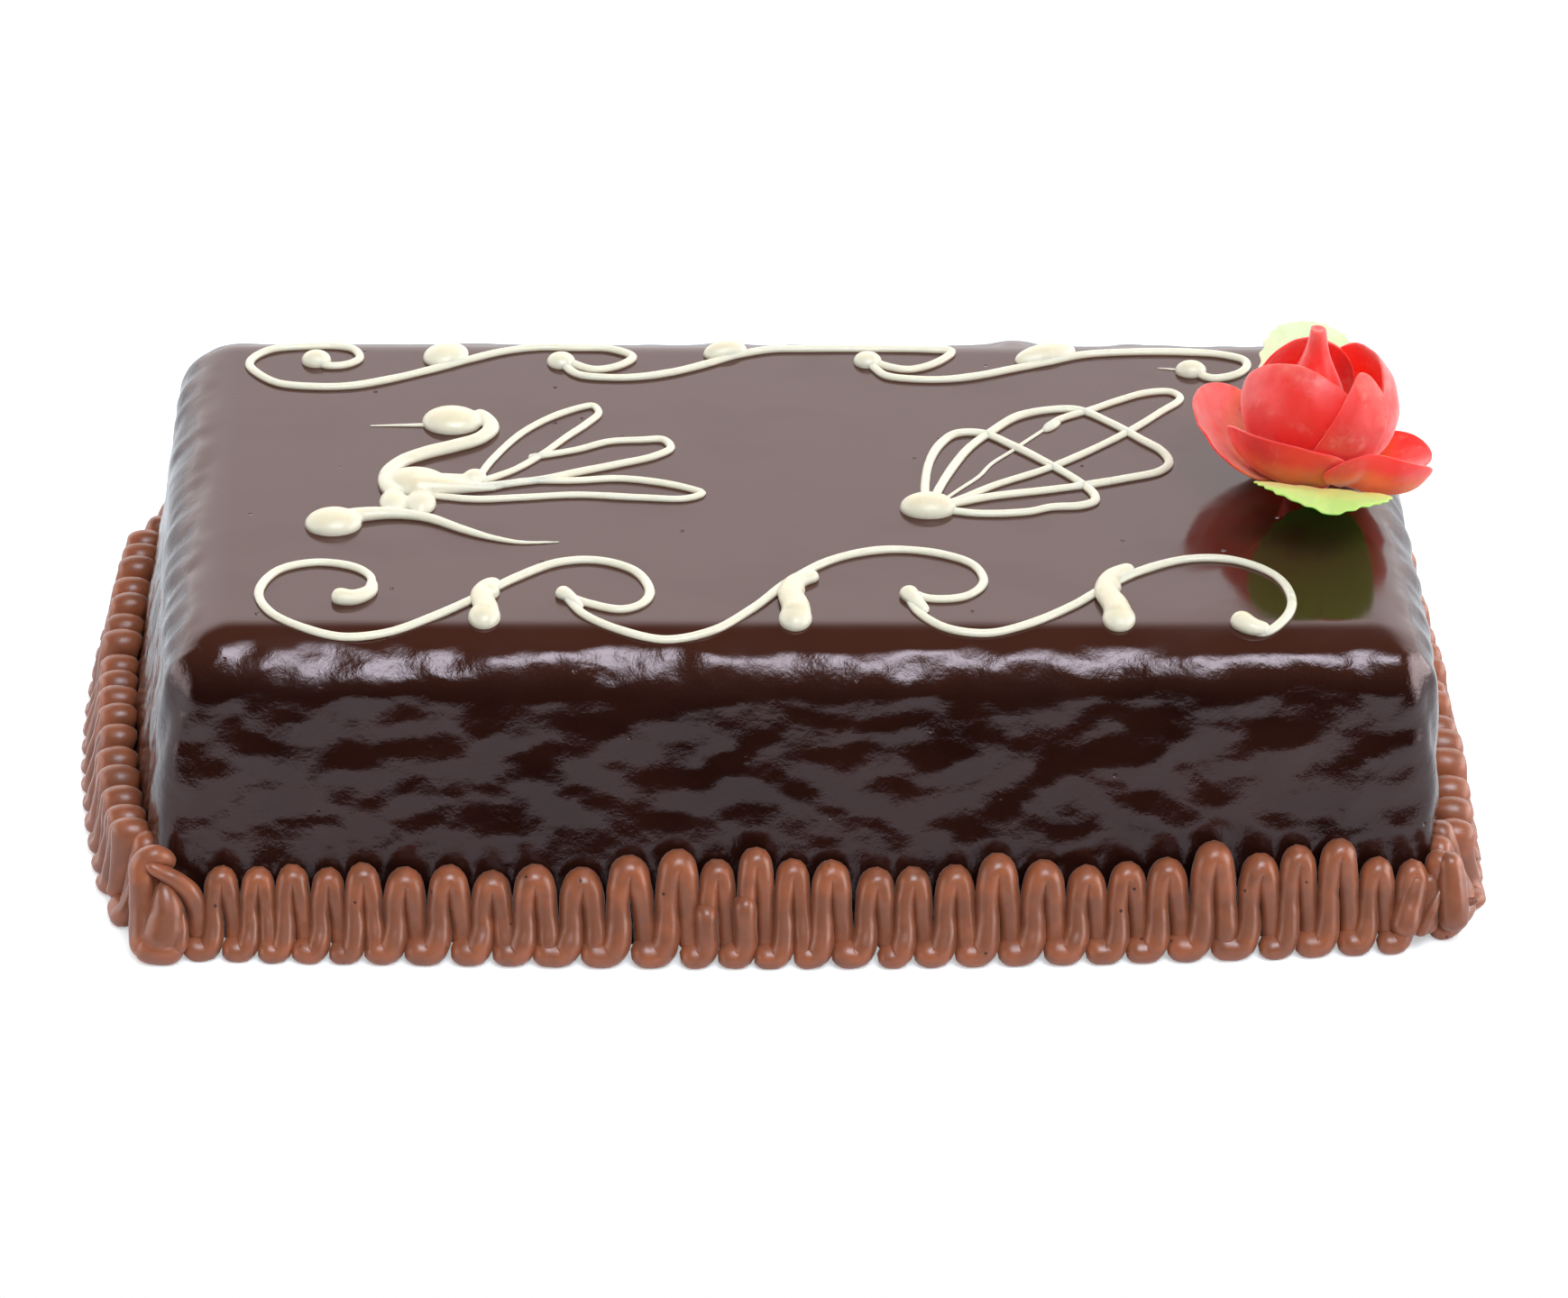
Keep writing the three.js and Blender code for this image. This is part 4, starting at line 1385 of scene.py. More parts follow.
# The wide swirl that starts the front run, and the fat leg and thin flap that end it
SWIRL = (
    ((-126.0, 9.2, 0.7, 3.0), (-126.4, 7.7, 3.6, 3.1), (-126.6, 5.9, 6.6, 2.9),
     (-126.7, 4.2, 10.5, 2.7), (-126.9, 3.2, 14.5, 2.5), (-127.0, 2.4, 17.5, 2.3),
     (-126.0, 2.0, 19.2, 2.2), (-124.0, 1.8, 19.8, 2.1), (-122.2, 1.1, 18.7, 1.8),
     (-121.3, 0.4, 16.6, 1.5)),
    ((-126.2, 3.8, 19.2, 0.8), (-124.5, 4.2, 18.4, 1.2), (-122.3, 4.2, 17.2, 1.5),
     (-119.6, 4.2, 15.4, 1.8), (-117.5, 4.2, 13.0, 2.0), (-116.4, 4.2, 9.5, 2.0),
     (-116.1, 4.8, 6.0, 1.9), (-116.1, 6.2, 3.0, 2.1)),
    ((-123.2, 4.4, 15.4, 1.2), (-122.4, 5.4, 12.8, 2.5), (-122.1, 6.1, 9.8, 3.6),
     (-122.5, 6.8, 6.6, 4.3), (-123.2, 7.8, 3.6, 4.5), (-123.6, 8.4, 1.2, 4.0)),
    ((-119.4, 6.6, 10.6, 0.7), (-119.4, 8.0, 6.8, 1.6), (-120.0, 9.2, 4.2, 2.1),
     (-120.9, 9.6, 2.9, 2.3)),
    ((-128.2, 7.8, 3.4, 2.8), (-125.6, 8.7, 3.0, 3.2), (-122.4, 9.0, 2.9, 3.2),
     (-118.6, 9.2, 2.6, 2.5)),
    ((-123.5, 2.2, 3.4, 3.4), (-122.8, 1.2, 9.0, 3.2), (-122.0, 0.8, 14.6, 2.6)),
    ((-125.2, 1.6, 7.0, 3.0), (-124.9, 1.0, 12.0, 3.1), (-124.2, 0.6, 16.4, 2.6)),
)
FAT_LEG = (
    ((118.9, 6.9, 3.1, 3.2), (119.5, 6.5, 5.4, 3.1), (120.7, 4.6, 9.5, 2.7),
     (121.7, 2.6, 13.0, 2.6), (122.1, 1.3, 15.2, 2.5)),
    ((123.4, 6.0, 2.7, 2.5), (124.2, 4.8, 6.0, 2.3), (124.6, 3.0, 10.5, 2.1),
     (124.0, 1.4, 14.4, 2.0)),
    ((127.2, 3.2, 12.4, 0.4), (125.7, 5.0, 10.0, 0.9), (123.9, 7.2, 6.2, 1.1),
     (122.3, 8.4, 3.8, 0.9)),
    ((129.3, 6.2, 3.0, 3.1), (129.4, 5.2, 6.0, 3.2), (129.1, 3.8, 10.5, 3.1),
     (128.6, 2.2, 15.0, 2.7), (127.8, 1.2, 18.6, 2.3)),
    ((126.0, 0.4, 10.0, 2.3), (126.2, 0.6, 15.0, 2.6), (126.9, 0.4, 18.4, 2.5)),
    ((131.6, 4.0, 8.4, 1.0), (133.2, 4.2, 8.6, 0.9), (134.4, 4.6, 9.6, 0.5)),
)


# The white piping

@dataclass(frozen=True)
class Stroke:
    """One line of piping on the top.

    Attributes:
        points: its turning points, from the middle of the ornament.
        width: its width.
        taper: the share of the width that is left at its start and at its end.
    """

    points: Sequence[Point]
    width: float = 1.9
    taper: tuple[float, float] = (1.0, 1.0)


@dataclass(frozen=True)
class Blob:
    """A thick drop of piping.

    Attributes:
        x: its place along the cake, from the middle of the ornament.
        y: its place across the cake.
        length: its length.
        width: its width.
        height: its height.
        turn: how far its length is turned from x, in radians.
    """

    x: float
    y: float
    length: float
    width: float
    height: float
    turn: float = 0.0


@dataclass
class Ornament:
    """One figure of white piping, laid over the glaze.

    Attributes:
        node: the node that it stands for.
        block: the cake.
        strokes: its lines.
        blobs: its drops.
        centre: where the ornament's middle is on the cake.
        melts_from: the width from which lines run into each other.
        voxel: the fineness of the skin of what has run together.
        rounds: how many times that skin is evened out.
        step: how far apart a line's rings are.
        faces: how many faces each ring has.
        flat: a line's height as a share of its width.
        lift: how far a line's middle is above the glaze, as a share of its radius.
        blob_lift: the same for a drop, as a share of its height.
        swell: how far a line's width wanders, as a share.
        swell_size: how long one swelling is.
    """

    node: str
    block: Block
    strokes: Sequence[Stroke]
    blobs: Sequence[Blob]
    centre: Point = (2.0, -1.75)
    melts_from: float = 2.6
    voxel: float = 0.26
    rounds: int = 12
    step: float = 0.6
    faces: int = 14
    flat: float = 0.8
    lift: float = 0.35
    blob_lift: float = 0.12
    swell: float = 0.1
    swell_size: float = 7.0

    def draped(self, x: float, y: float, lift: float) -> Vector:
        """Returns a place of the ornament on the glaze, raised by a lift."""
        at_x, at_y = x + self.centre[0], y + self.centre[1]
        return Vector((at_x, at_y, self.block.top_height(at_x, at_y) + lift))

    def add_stroke(self, bm: bmesh.types.BMesh, stroke: Stroke) -> None:
        """Adds one line of piping to a mesh.

        Args:
            bm: the mesh.
            stroke: the line.
        """
        last = len(stroke.points) - 1
        route = []
        for i, (x, y) in enumerate(stroke.points):
            share = lerp(stroke.taper[0], stroke.taper[1], i / last)
            radius = stroke.width / 2 * share
            route.append(Vector((*self.draped(x, y, self.lift * radius), radius)))
        stations = rounded_route(route, self.step)
        for station in stations:
            place = Vector((station.x / self.swell_size, station.y / self.swell_size, 0.5))
            station.w *= 1 + self.swell * noise.noise(place)
        sweep(bm, rounded_ends(stations), self.faces, flat=self.flat)

    def add_blob(self, bm: bmesh.types.BMesh, blob: Blob) -> None:
        """Adds one drop of piping to a mesh.

        Args:
            bm: the mesh.
            blob: the drop.
        """
        place = Matrix.Translation(self.draped(blob.x, blob.y, self.blob_lift * blob.height))
        turn = Matrix.Rotation(blob.turn, 4, "Z")
        scale = Matrix.Diagonal((blob.length / 2, blob.width / 2, blob.height, 1))
        bmesh.ops.create_uvsphere(bm, u_segments=24, v_segments=14, radius=1,
                                  matrix=place @ turn @ scale)

    def build(self, finish: bpy.types.Material) -> bpy.types.Object:
        """Builds the figure from its thin lines and its melted thick ones.

        Args:
            finish: the piping's material.

        Returns:
            The piece.
        """
        lines, thick = bmesh.new(), bmesh.new()
        for stroke in self.strokes:
            self.add_stroke(thick if stroke.width >= self.melts_from else lines, stroke)
        for blob in self.blobs:
            self.add_blob(thick, blob)
        melt(thick, self.voxel, self.rounds, lines)
        return stand_in(to_object(f"ornament_{self.node}", lines, finish), "white_piping", self.node)


def front_scrolls(block: Block) -> Ornament:
    """Lays three running scrolls along the front, with a twisted drop at each join.

    Args:
        block: the cake.

    Returns:
        The figure.
    """
    strokes = (
        Stroke(((-84.4, -39.0), (-84.9, -35.2), (-88.2, -31.8), (-95.5, -30.2), (-102.8, -33.3),
                (-106.3, -41.5), (-103.9, -48.9), (-97.8, -53.9), (-89.9, -56.2), (-81.3, -55.2),
                (-72.6, -50.5), (-63.9, -43.0), (-56.9, -36.2), (-48.0, -30.0), (-40.1, -29.3),
                (-33.1, -33.4), (-30.5, -41.2), (-32.2, -45.6), (-36.1, -47.7), (-42.1, -45.7),
                (-47.2, -42.4))),
        Stroke(((-46.8, -42.8), (-43.4, -49.6), (-36.2, -54.7), (-27.6, -56.7), (-18.8, -54.7),
                (-10.7, -47.2), (-2.4, -36.0), (6.8, -28.1), (16.7, -24.9), (26.4, -26.3),
                (33.2, -30.7), (34.7, -37.6), (30.7, -42.7), (23.6, -43.4), (19.4, -40.0))),
        Stroke(((19.4, -41.1), (21.6, -48.8), (26.5, -53.9), (34.3, -55.2), (42.3, -52.8),
                (51.6, -46.0), (58.3, -39.2), (66.8, -32.3), (76.1, -28.2), (84.9, -28.8),
                (92.3, -34.6), (94.6, -43.5), (92.4, -51.0), (87.7, -55.0), (82.8, -51.0))),
        Stroke(((-59.4, -38.0), (-61.8, -39.6), (-63.2, -43.2), (-62.4, -48.0), (-62.6, -52.0)),
               5.6, (0.55, 1.05)),
        Stroke(((2.6, -34.8), (-1.6, -37.6), (-3.2, -42.2), (-2.4, -47.6), (-2.6, -52.4)),
               6.0, (0.55, 1.05)),
        Stroke(((64.6, -32.0), (60.2, -35.6), (58.4, -41.2), (59.8, -47.0), (60.2, -52.4)),
               5.8, (0.55, 1.05)),
        Stroke(((-84.4, -37.0), (-84.9, -41.4), (-88.2, -44.1), (-92.4, -43.3)), 4.5, (0.5, 1.05)),
        Stroke(((-48.6, -41.0), (-46.4, -43.0), (-43.8, -47.6)), 3.8, (1.05, 0.5)),
        Stroke(((19.2, -40.4), (20.8, -44.2), (23.0, -49.0)), 4.0, (1.1, 0.6)),
        Stroke(((89.6, -54.4), (85.8, -53.8), (82.4, -50.6)), 4.4, (0.6, 1.2)),
    )
    blobs = (
        Blob(-62.7, -50.6, 7.4, 6.4, 2.5, 1.4), Blob(-2.6, -51.0, 7.6, 6.6, 2.5, 1.4),
        Blob(60.2, -51.0, 7.6, 6.6, 2.5, 1.4), Blob(-61.9, -41.4, 5.2, 4.4, 2.2, 1.0),
        Blob(-2.6, -40.6, 5.4, 4.6, 2.2, 1.0), Blob(59.3, -39.2, 5.4, 4.6, 2.2, 1.0),
    )
    return Ornament("scrolls_front", block, strokes, blobs)


def back_scrolls(block: Block) -> Ornament:
    """Lays three more scrolls along the back, the other way about.

    Args:
        block: the cake.

    Returns:
        The figure.
    """
    strokes = (
        Stroke(((-95.8, 51.6), (-94.8, 48.6), (-90.8, 48.6), (-87.7, 51.3), (-88.8, 55.1),
                (-92.0, 56.6), (-99.2, 56.5), (-105.8, 55.0), (-109.4, 51.5), (-110.1, 48.5),
                (-108.2, 44.8), (-104.1, 41.0), (-96.9, 39.6), (-89.2, 40.0), (-81.5, 42.7),
                (-73.6, 46.5), (-65.9, 50.7), (-58.1, 54.5), (-50.3, 56.5), (-43.1, 56.2),
                (-36.4, 55.8), (-31.7, 52.4), (-34.7, 48.6), (-39.9, 47.1), (-44.8, 50.1),
                (-47.0, 52.0))),
        Stroke(((-47.0, 52.0), (-43.3, 45.2), (-36.6, 43.7), (-30.2, 44.1), (-23.5, 46.1),
                (-16.7, 49.5), (-9.9, 53.4), (-3.3, 55.7), (3.4, 56.1), (23.3, 56.2),
                (30.0, 55.9), (34.1, 55.2), (31.0, 50.6), (25.2, 47.5), (20.7, 48.6),
                (16.2, 52.4))),
        Stroke(((16.4, 51.6), (18.2, 47.5), (20.1, 44.8), (25.9, 43.4), (32.6, 43.4),
                (39.2, 45.0), (46.0, 47.7), (52.9, 50.4), (61.0, 53.8), (71.4, 55.1),
                (83.3, 55.1), (90.3, 54.0), (94.4, 51.8), (94.7, 49.1), (92.0, 45.7),
                (87.0, 44.2), (83.4, 47.2))),
        Stroke(((83.4, 47.2), (79.0, 48.4), (76.0, 49.0)), 0.8, (1.0, 0.3)),
    )
    blobs = (
        Blob(-96.5, 50.6, 6.2, 5.4, 2.2), Blob(-46.4, 50.4, 6.0, 5.6, 2.0),
        Blob(16.6, 51.0, 6.0, 5.4, 2.0), Blob(83.0, 47.4, 6.6, 5.2, 2.2),
        Blob(-70.0, 52.6, 10.0, 8.0, 2.4, 0.5), Blob(-12.6, 54.6, 9.5, 5.4, 2.4, 0.3),
        Blob(53.4, 53.6, 14.0, 6.0, 2.4, 0.4),
    )
    return Ornament("scrolls_back", block, strokes, blobs)


def piped_bird(block: Block) -> Ornament:
    """Lays a long-necked bird with three looped feathers, on a tapering stroke.

    Args:
        block: the cake.

    Returns:
        The figure.
    """
    strokes = (
        Stroke(((-85.6, 24.1), (-80.0, 24.2), (-74.0, 24.3), (-70.0, 24.8)), 1.3, (0.25, 1.0)),
        Stroke(((-64.5, 28.3), (-62.3, 26.5), (-60.9, 22.4), (-63.3, 18.1), (-68.2, 15.1),
                (-74.1, 12.2), (-79.0, 8.6), (-81.7, 3.5), (-81.6, -1.1), (-79.5, -4.7)), 3.4),
        Stroke(((-63.3, 3.6), (-61.0, 9.7), (-54.9, 20.7), (-48.8, 27.3), (-42.7, 31.4),
                (-40.2, 32.1), (-39.1, 29.2), (-41.6, 24.8), (-45.9, 19.2), (-50.8, 12.3),
                (-56.3, 6.2), (-60.6, 3.0), (-64.0, 0.8)), 1.6),
        Stroke(((-53.7, 10.9), (-43.8, 14.2), (-37.2, 17.5), (-30.8, 18.2), (-26.3, 18.3),
                (-24.9, 15.0), (-28.2, 11.7), (-35.6, 8.4), (-43.9, 5.1), (-49.7, 2.6),
                (-56.4, 0.8), (-63.4, -1.0), (-70.0, -2.5)), 1.8, (0.9, 1.1)),
        Stroke(((-61.0, -1.0), (-55.1, 1.5), (-44.0, 1.9), (-35.7, 2.7), (-28.0, 1.3),
                (-21.6, -1.2), (-19.1, -3.0), (-22.4, -5.1), (-31.4, -4.8), (-44.1, -3.8),
                (-55.2, -4.9), (-64.1, -5.6), (-70.6, -4.6), (-76.0, -3.2)), 1.7),
        Stroke(((-78.0, -1.4), (-71.0, -1.4), (-66.0, -1.2), (-59.5, -1.0)), 6.0, (1.1, 0.22)),
        Stroke(((-72.0, 1.0), (-66.0, 1.6), (-61.5, 2.4)), 3.4, (1.1, 0.6)),
        Stroke(((-97.5, -15.6), (-84.8, -11.9), (-78.9, -11.7), (-73.0, -13.4), (-67.0, -17.3),
                (-61.2, -20.4), (-55.3, -22.1), (-47.4, -21.7)), 3.0, (1.3, 0.2)),
    )
    blobs = (
        Blob(-68.8, 25.2, 12.2, 9.4, 2.9), Blob(-75.6, 0.4, 13.0, 9.4, 2.9, -0.2),
        Blob(-80.4, -7.0, 5.8, 8.0, 2.2), Blob(-75.0, -7.2, 6.2, 8.0, 2.2),
        Blob(-64.4, 2.5, 5.4, 4.8, 2.0, 0.6), Blob(-92.2, -15.2, 11.4, 9.0, 2.9, 0.1),
    )
    return Ornament("piped_bird", block, strokes, blobs)


def piped_fan(block: Block) -> Ornament:
    """Lays a fan of three wide loops springing from one drop.

    Args:
        block: the cake.

    Returns:
        The figure.
    """
    strokes = (
        Stroke(((25.4, -4.0), (25.4, -1.0), (26.9, 9.5), (29.7, 17.1), (33.1, 21.1),
                (38.4, 21.2), (43.9, 16.5), (50.0, 10.0), (56.3, 2.1), (59.0, -2.9),
                (59.0, -5.8), (56.1, -7.6), (50.1, -8.3), (45.3, -10.1), (35.6, -10.8),
                (29.0, -9.4))),
        Stroke(((27.0, -6.0), (27.8, -2.4), (31.7, 8.0), (35.5, 15.7), (40.5, 22.3),
                (46.0, 28.2), (52.8, 30.9), (58.5, 30.9), (64.9, 25.4), (70.4, 18.8),
                (74.2, 14.1), (75.2, 9.4), (73.0, 6.1), (66.0, 3.2), (58.0, 0.6), (49.5, -1.6),
                (38.5, -4.1), (30.0, -7.2))),
        Stroke(((29.5, -7.0), (32.7, -4.8), (39.6, 0.5), (49.8, 6.7), (57.9, 12.9),
                (68.3, 22.4), (75.0, 29.9), (79.8, 35.9), (78.1, 38.5), (73.1, 38.1),
                (66.7, 34.7), (60.9, 30.9), (54.6, 27.2), (51.3, 23.5)), 1.7),
        Stroke(((51.3, 23.5), (47.3, 18.7), (43.4, 13.9), (39.4, 9.2), (36.5, 4.1),
                (32.4, -0.9), (28.6, -5.6)), 0.8),
    )
    blobs = (Blob(25.6, -8.6, 11.4, 8.0, 3.0), Blob(52.6, 24.6, 6.0, 2.4, 1.0, 0.85))
    return Ornament("piped_fan", block, strokes, blobs)


# The wafer rose

@dataclass(frozen=True)
class Wafer:
    """A thin sheet of wafer, shaped from a disc by the place that each point of it takes.

    Its mesh keeps how far up the sheet each point is, for the finish to read.

    Attributes:
        node: the node that it stands for.
        place: turns a point of the disc, across and up from -1 to 1, into a point in space.
        thickness: how thick the wafer is.
        wrinkle: how far its surface wanders.
        wrinkle_size: the size of one wrinkle.
        crinkle: how far the finer crinkles go, as a share of that.
        crinkle_size: the size of one crinkle.
        cells: how many cells the sheet has each way.
        seed: shifts the wandering.
        blush: how much of the root's colour runs up the sheet.
    """

    node: str
    place: Callable[[float, float], Vector]
    thickness: float = 0.5
    wrinkle: float = 0.35
    wrinkle_size: float = 5.0
    crinkle: float = 0.25
    crinkle_size: float = 1.7
    cells: int = 30
    seed: float = 0.0
    blush: float = 0.0

    def build(self, slot: str, finish: bpy.types.Material) -> bpy.types.Object:
        """Builds the sheet.

        Args:
            slot: the material slot that it fills.
            finish: the wafer's material.

        Returns:
            The piece.
        """
        bm = bmesh.new()
        reach = bm.verts.layers.float.new("reach")
        made = bmesh.ops.create_grid(bm, x_segments=self.cells, y_segments=self.cells, size=1)
        for vert in made["verts"]:
            u, v = vert.co.x, vert.co.y
            across = u * math.sqrt(1 - v * v / 2)
            up = v * math.sqrt(1 - u * u / 2)
            vert[reach] = (up + 1) / 2 - self.blush
            vert.co = self.place(across, up)
        roughen(bm, self.wrinkle, self.wrinkle_size, self.seed)
        roughen(bm, self.wrinkle * self.crinkle, self.crinkle_size, self.seed + 5)
        piece = to_object(f"wafer_{self.node}", bm, finish)
        wall = piece.modifiers.new("wafer", "SOLIDIFY")
        wall.thickness = self.thickness * MM
        wall.offset = 0
        round_off(piece)
        return stand_in(piece, slot, self.node)


@dataclass(frozen=True)
class CupPetal:
    """A petal on the surface of an egg, which closes round the bud or cups it from below.

    Attributes:
        azimuth: the way that it faces, in degrees from x.
        spread: how far round it reaches to each side, in degrees.
        radius: the egg's radius.
        rise: half the egg's height.
        middle: how high the egg's middle is.
        foot: how far below the middle the petal begins, in degrees.
        top: how far above it the petal ends, in degrees.
        lean: how far its tip is turned to the side, in degrees.
        early: how soon it climbs, less than 1 for sooner.
        flare: how far its right edge opens outward.
    """

    azimuth: float
    spread: float
    radius: float
    rise: float
    middle: float = 18.0
    foot: float = -62.0
    top: float = 52.0
    lean: float = 0.0
    early: float = 1.0
    flare: float = 0.0

    def place(self, across: float, up: float) -> Vector:
        """Carries a point of the disc onto the rose.

        Args:
            across: the point's place across the disc, from -1 to 1.
            up: its place up the disc.

        Returns:
            The place from the rose's foot.
        """
        reach = max(0.0, (up + 1) / 2)
        climb = math.radians(lerp(self.foot, self.top, reach ** self.early))
        wide = 0.78 + 0.22 * math.sin(math.pi * min(0.5, 0.8 * reach))
        turn = math.radians(self.azimuth + self.spread * across * wide + self.lean * reach)
        opening = self.flare * smoothstep(-0.2, 1.0, across)
        out = self.radius * math.cos(climb) + opening
        return Vector((out * math.cos(turn), out * math.sin(turn),
                       self.middle + self.rise * math.sin(climb) - opening / 2))


@dataclass(frozen=True)
class OpenPetal:
    """An outer petal, which opens from the root like a scoop with its rim turned up.

    Attributes:
        azimuth: the way that it faces, in degrees from x.
        root_radius: how far out its root is.
        root_height: how high its root is.
        length: its length.
        half_width: half its width.
        first_slope: how steep it is at the root, in degrees.
        last_slope: how steep it is at the tip, in degrees.
        cup: the radius that it is bent to from side to side.
    """

    azimuth: float
    root_radius: float = 5.0
    root_height: float = 3.0
    length: float = 22.0
    half_width: float = 12.0
    first_slope: float = 5.0
    last_slope: float = 60.0
    cup: float = 16.0

    def place(self, across: float, up: float) -> Vector:
        """Carries a point of the disc onto the rose.

        Args:
            across: the point's place across the disc, from -1 to 1.
            up: its place up the disc.

        Returns:
            The place from the rose's foot.
        """
        reach = (up + 1) / 2
        steps = 12
        out, z = self.root_radius, self.root_height
        slope = math.radians(self.first_slope)
        for i in range(steps):
            slope = math.radians(lerp(self.first_slope, self.last_slope, reach * (i + 0.5) / steps))
            out += self.length * reach / steps * math.cos(slope)
            z += self.length * reach / steps * math.sin(slope)
        bend = self.half_width * across / self.cup
        side = self.cup * math.sin(bend)
        raised = self.cup * (1 - math.cos(bend))
        out -= raised * math.sin(slope)
        z += raised * math.cos(slope)
        turn = math.radians(self.azimuth)
        return Vector((out * math.cos(turn) - side * math.sin(turn),
                       out * math.sin(turn) + side * math.cos(turn), z))


@dataclass
class Rose:
    """The wafer rose: a rolled bud, inner petals round it and open petals under them.

    Attributes:
        block: the cake.
        x: where the rose stands along the cake.
        y: where it stands across it.
        height: how high the bud is meant to reach, for its colour.
        bud: the bud's outline from the foot up, as radius and height.
        bud_x: how far to the right of the rose the bud stands.
        around: how many faces go round the bud.
        overlap: how far the bud's roll opens at its seam, as a share of its radius.
        seam: where the seam is, as a share of a turn.
        bud_foot: how far up a petal its foot's colour is taken from, as a share.
        blush: how much of the root's colour runs up the outer petals.
        inner: the petals round the bud.
        outer: the petals under them.
    """

    block: Block
    x: float = 104.8
    y: float = 0.6
    height: float = 36.0
    bud: Sequence[Point] = (
        (0.0, 0.05), (5.6, 0.05), (5.2, 3.0), (4.4, 8.0), (6.6, 15.0), (6.4, 20.0),
        (4.6, 24.5), (3.0, 28.0), (2.1, 31.2), (1.7, 34.8), (1.5, 35.4), (0.0, 34.8))
    bud_x: float = -0.5
    around: int = 40
    overlap: float = 0.3
    seam: float = 0.62
    bud_foot: float = 0.3
    blush: float = 0.2
    inner: Sequence[CupPetal] = (
        CupPetal(-97.5, 25, 17.5, 15.8, top=50, lean=48),
        CupPetal(-122, 70, 14.7, 15.0, top=57),
        CupPetal(12, 66, 16.6, 14.4, top=44),
        CupPetal(100, 54, 13.0, 13.4, top=55),
    )
    outer: Sequence["CupPetal | OpenPetal"] = (
        CupPetal(-122, 50, 18.6, 16.0, top=2, early=0.6),
        OpenPetal(172, root_height=4.0, length=24.0, half_width=16.0, first_slope=8, cup=40),
        CupPetal(-57, 33, 19.0, 14.0, middle=16.6, foot=-58, top=-2, early=0.6, flare=7),
        OpenPetal(-6, root_height=2.5, length=20.0, half_width=10.5, first_slope=2, last_slope=30),
        OpenPetal(60), OpenPetal(112, root_height=1.6, length=19.0, half_width=10.0),
    )

    def from_axis(self, place: Callable[[float, float], Vector]) -> Callable[[float, float], Vector]:
        """Returns a placing rule moved from the rose's foot to its place on the cake."""
        foot = Vector((self.x, self.y, self.block.height))
        return lambda across, up: foot + place(across, up)

    def build_bud(self, finish: bpy.types.Material) -> bpy.types.Object:
        """Builds the rolled bud on its foot.

        Args:
            finish: the wafer's material.

        Returns:
            The piece.
        """
        bm = bmesh.new()
        reach = bm.verts.layers.float.new("reach")
        rows = len(self.bud) - 1
        made = bmesh.ops.create_grid(bm, x_segments=rows, y_segments=self.around, size=0.5)["verts"]
        for vert in made:
            radius, z = self.bud[round((vert.co.x + 0.5) * rows)]
            step = round((vert.co.y + 0.5) * self.around) % self.around
            rolled = radius * (1 + self.overlap * ((step / self.around + self.seam) % 1 - 0.5))
            turn = step / self.around * 2 * math.pi
            vert.co = (rolled * math.cos(turn), rolled * math.sin(turn), z)
            vert[reach] = lerp(self.bud_foot, 1.0, z / self.height)
        bmesh.ops.remove_doubles(bm, verts=made, dist=CLOSE)
        bmesh.ops.translate(bm, vec=(self.x + self.bud_x, self.y, self.block.height),
                            verts=bm.verts)
        piece = to_object("wafer_rose_bud", bm, finish)
        round_off(piece)
        return stand_in(piece, "wafer_petal", "rose_bud")

    def build(self, petal: bpy.types.Material) -> None:
        """Builds the bud and all its petals.

        Args:
            petal: the petals' material.
        """
        self.build_bud(petal)
        for i, shape in enumerate(self.inner, 1):
            Wafer(f"petal_inner_{i}", self.from_axis(shape.place), seed=i).build("wafer_petal", petal)
        for i, shape in enumerate(self.outer, 1):
            Wafer(f"petal_outer_{i}", self.from_axis(shape.place), seed=10 + i,
                  blush=self.blush).build("wafer_petal", petal)


@dataclass(frozen=True)
class Leaf:
    """A broad toothed leaf that rises outward from under the petals.

    Attributes:
        node: the node that it stands for.
        azimuth: the way that it points, in degrees from x.
        rim: how high its tip is.
        droop: how far its middle sags towards the tip.
        tilt: how much higher its left edge is than its middle.
        root_height: how high its root is.
        crease: the share of its width that the sag takes up.
        root: how far out its root is.
        length: how far out its tip is.
        half_width: half its width.
        teeth: how many teeth it has to each side.
        tooth_depth: how deep they are.
    """

    node: str
    azimuth: float
    rim: float
    droop: float = 0.0
    tilt: float = 0.0
    root_height: float = 0.6
    crease: float = 0.4
    root: float = 7.5
    length: float = 33.5
    half_width: float = 14.0
    teeth: int = 13
    tooth_depth: float = 0.8

    def place(self, across: float, up: float) -> Vector:
        """Carries a point of the disc onto the rose.

        Args:
            across: the point's place across the disc, from -1 to 1.
            up: its place up the disc.

        Returns:
            The place from the rose's foot.
        """
        reach = (up + 1) / 2
        edge = math.hypot(across, up)
        tooth = self.tooth_depth * smoothstep(0.9, 1.0, edge)
        angle = math.atan2(across, up)
        wave = abs((angle / math.pi * self.teeth) % 1 - 0.5) * 2
        pull = 1 - tooth * wave / self.half_width
        out = lerp(self.root, self.length, 0.5 + 0.5 * up * pull)
        side = self.half_width * across * pull
        sag = self.droop * max(0.0, 1 - abs(across) / self.crease) * smoothstep(0.3, 1.0, reach)
        rise = lerp(self.root_height, self.rim, 1 - (1 - reach) ** 2)
        height = rise + self.tilt * across - sag
        turn = math.radians(self.azimuth)
        return Vector((out * math.cos(turn) - side * math.sin(turn),
                       out * math.sin(turn) + side * math.cos(turn), height))


# The studio

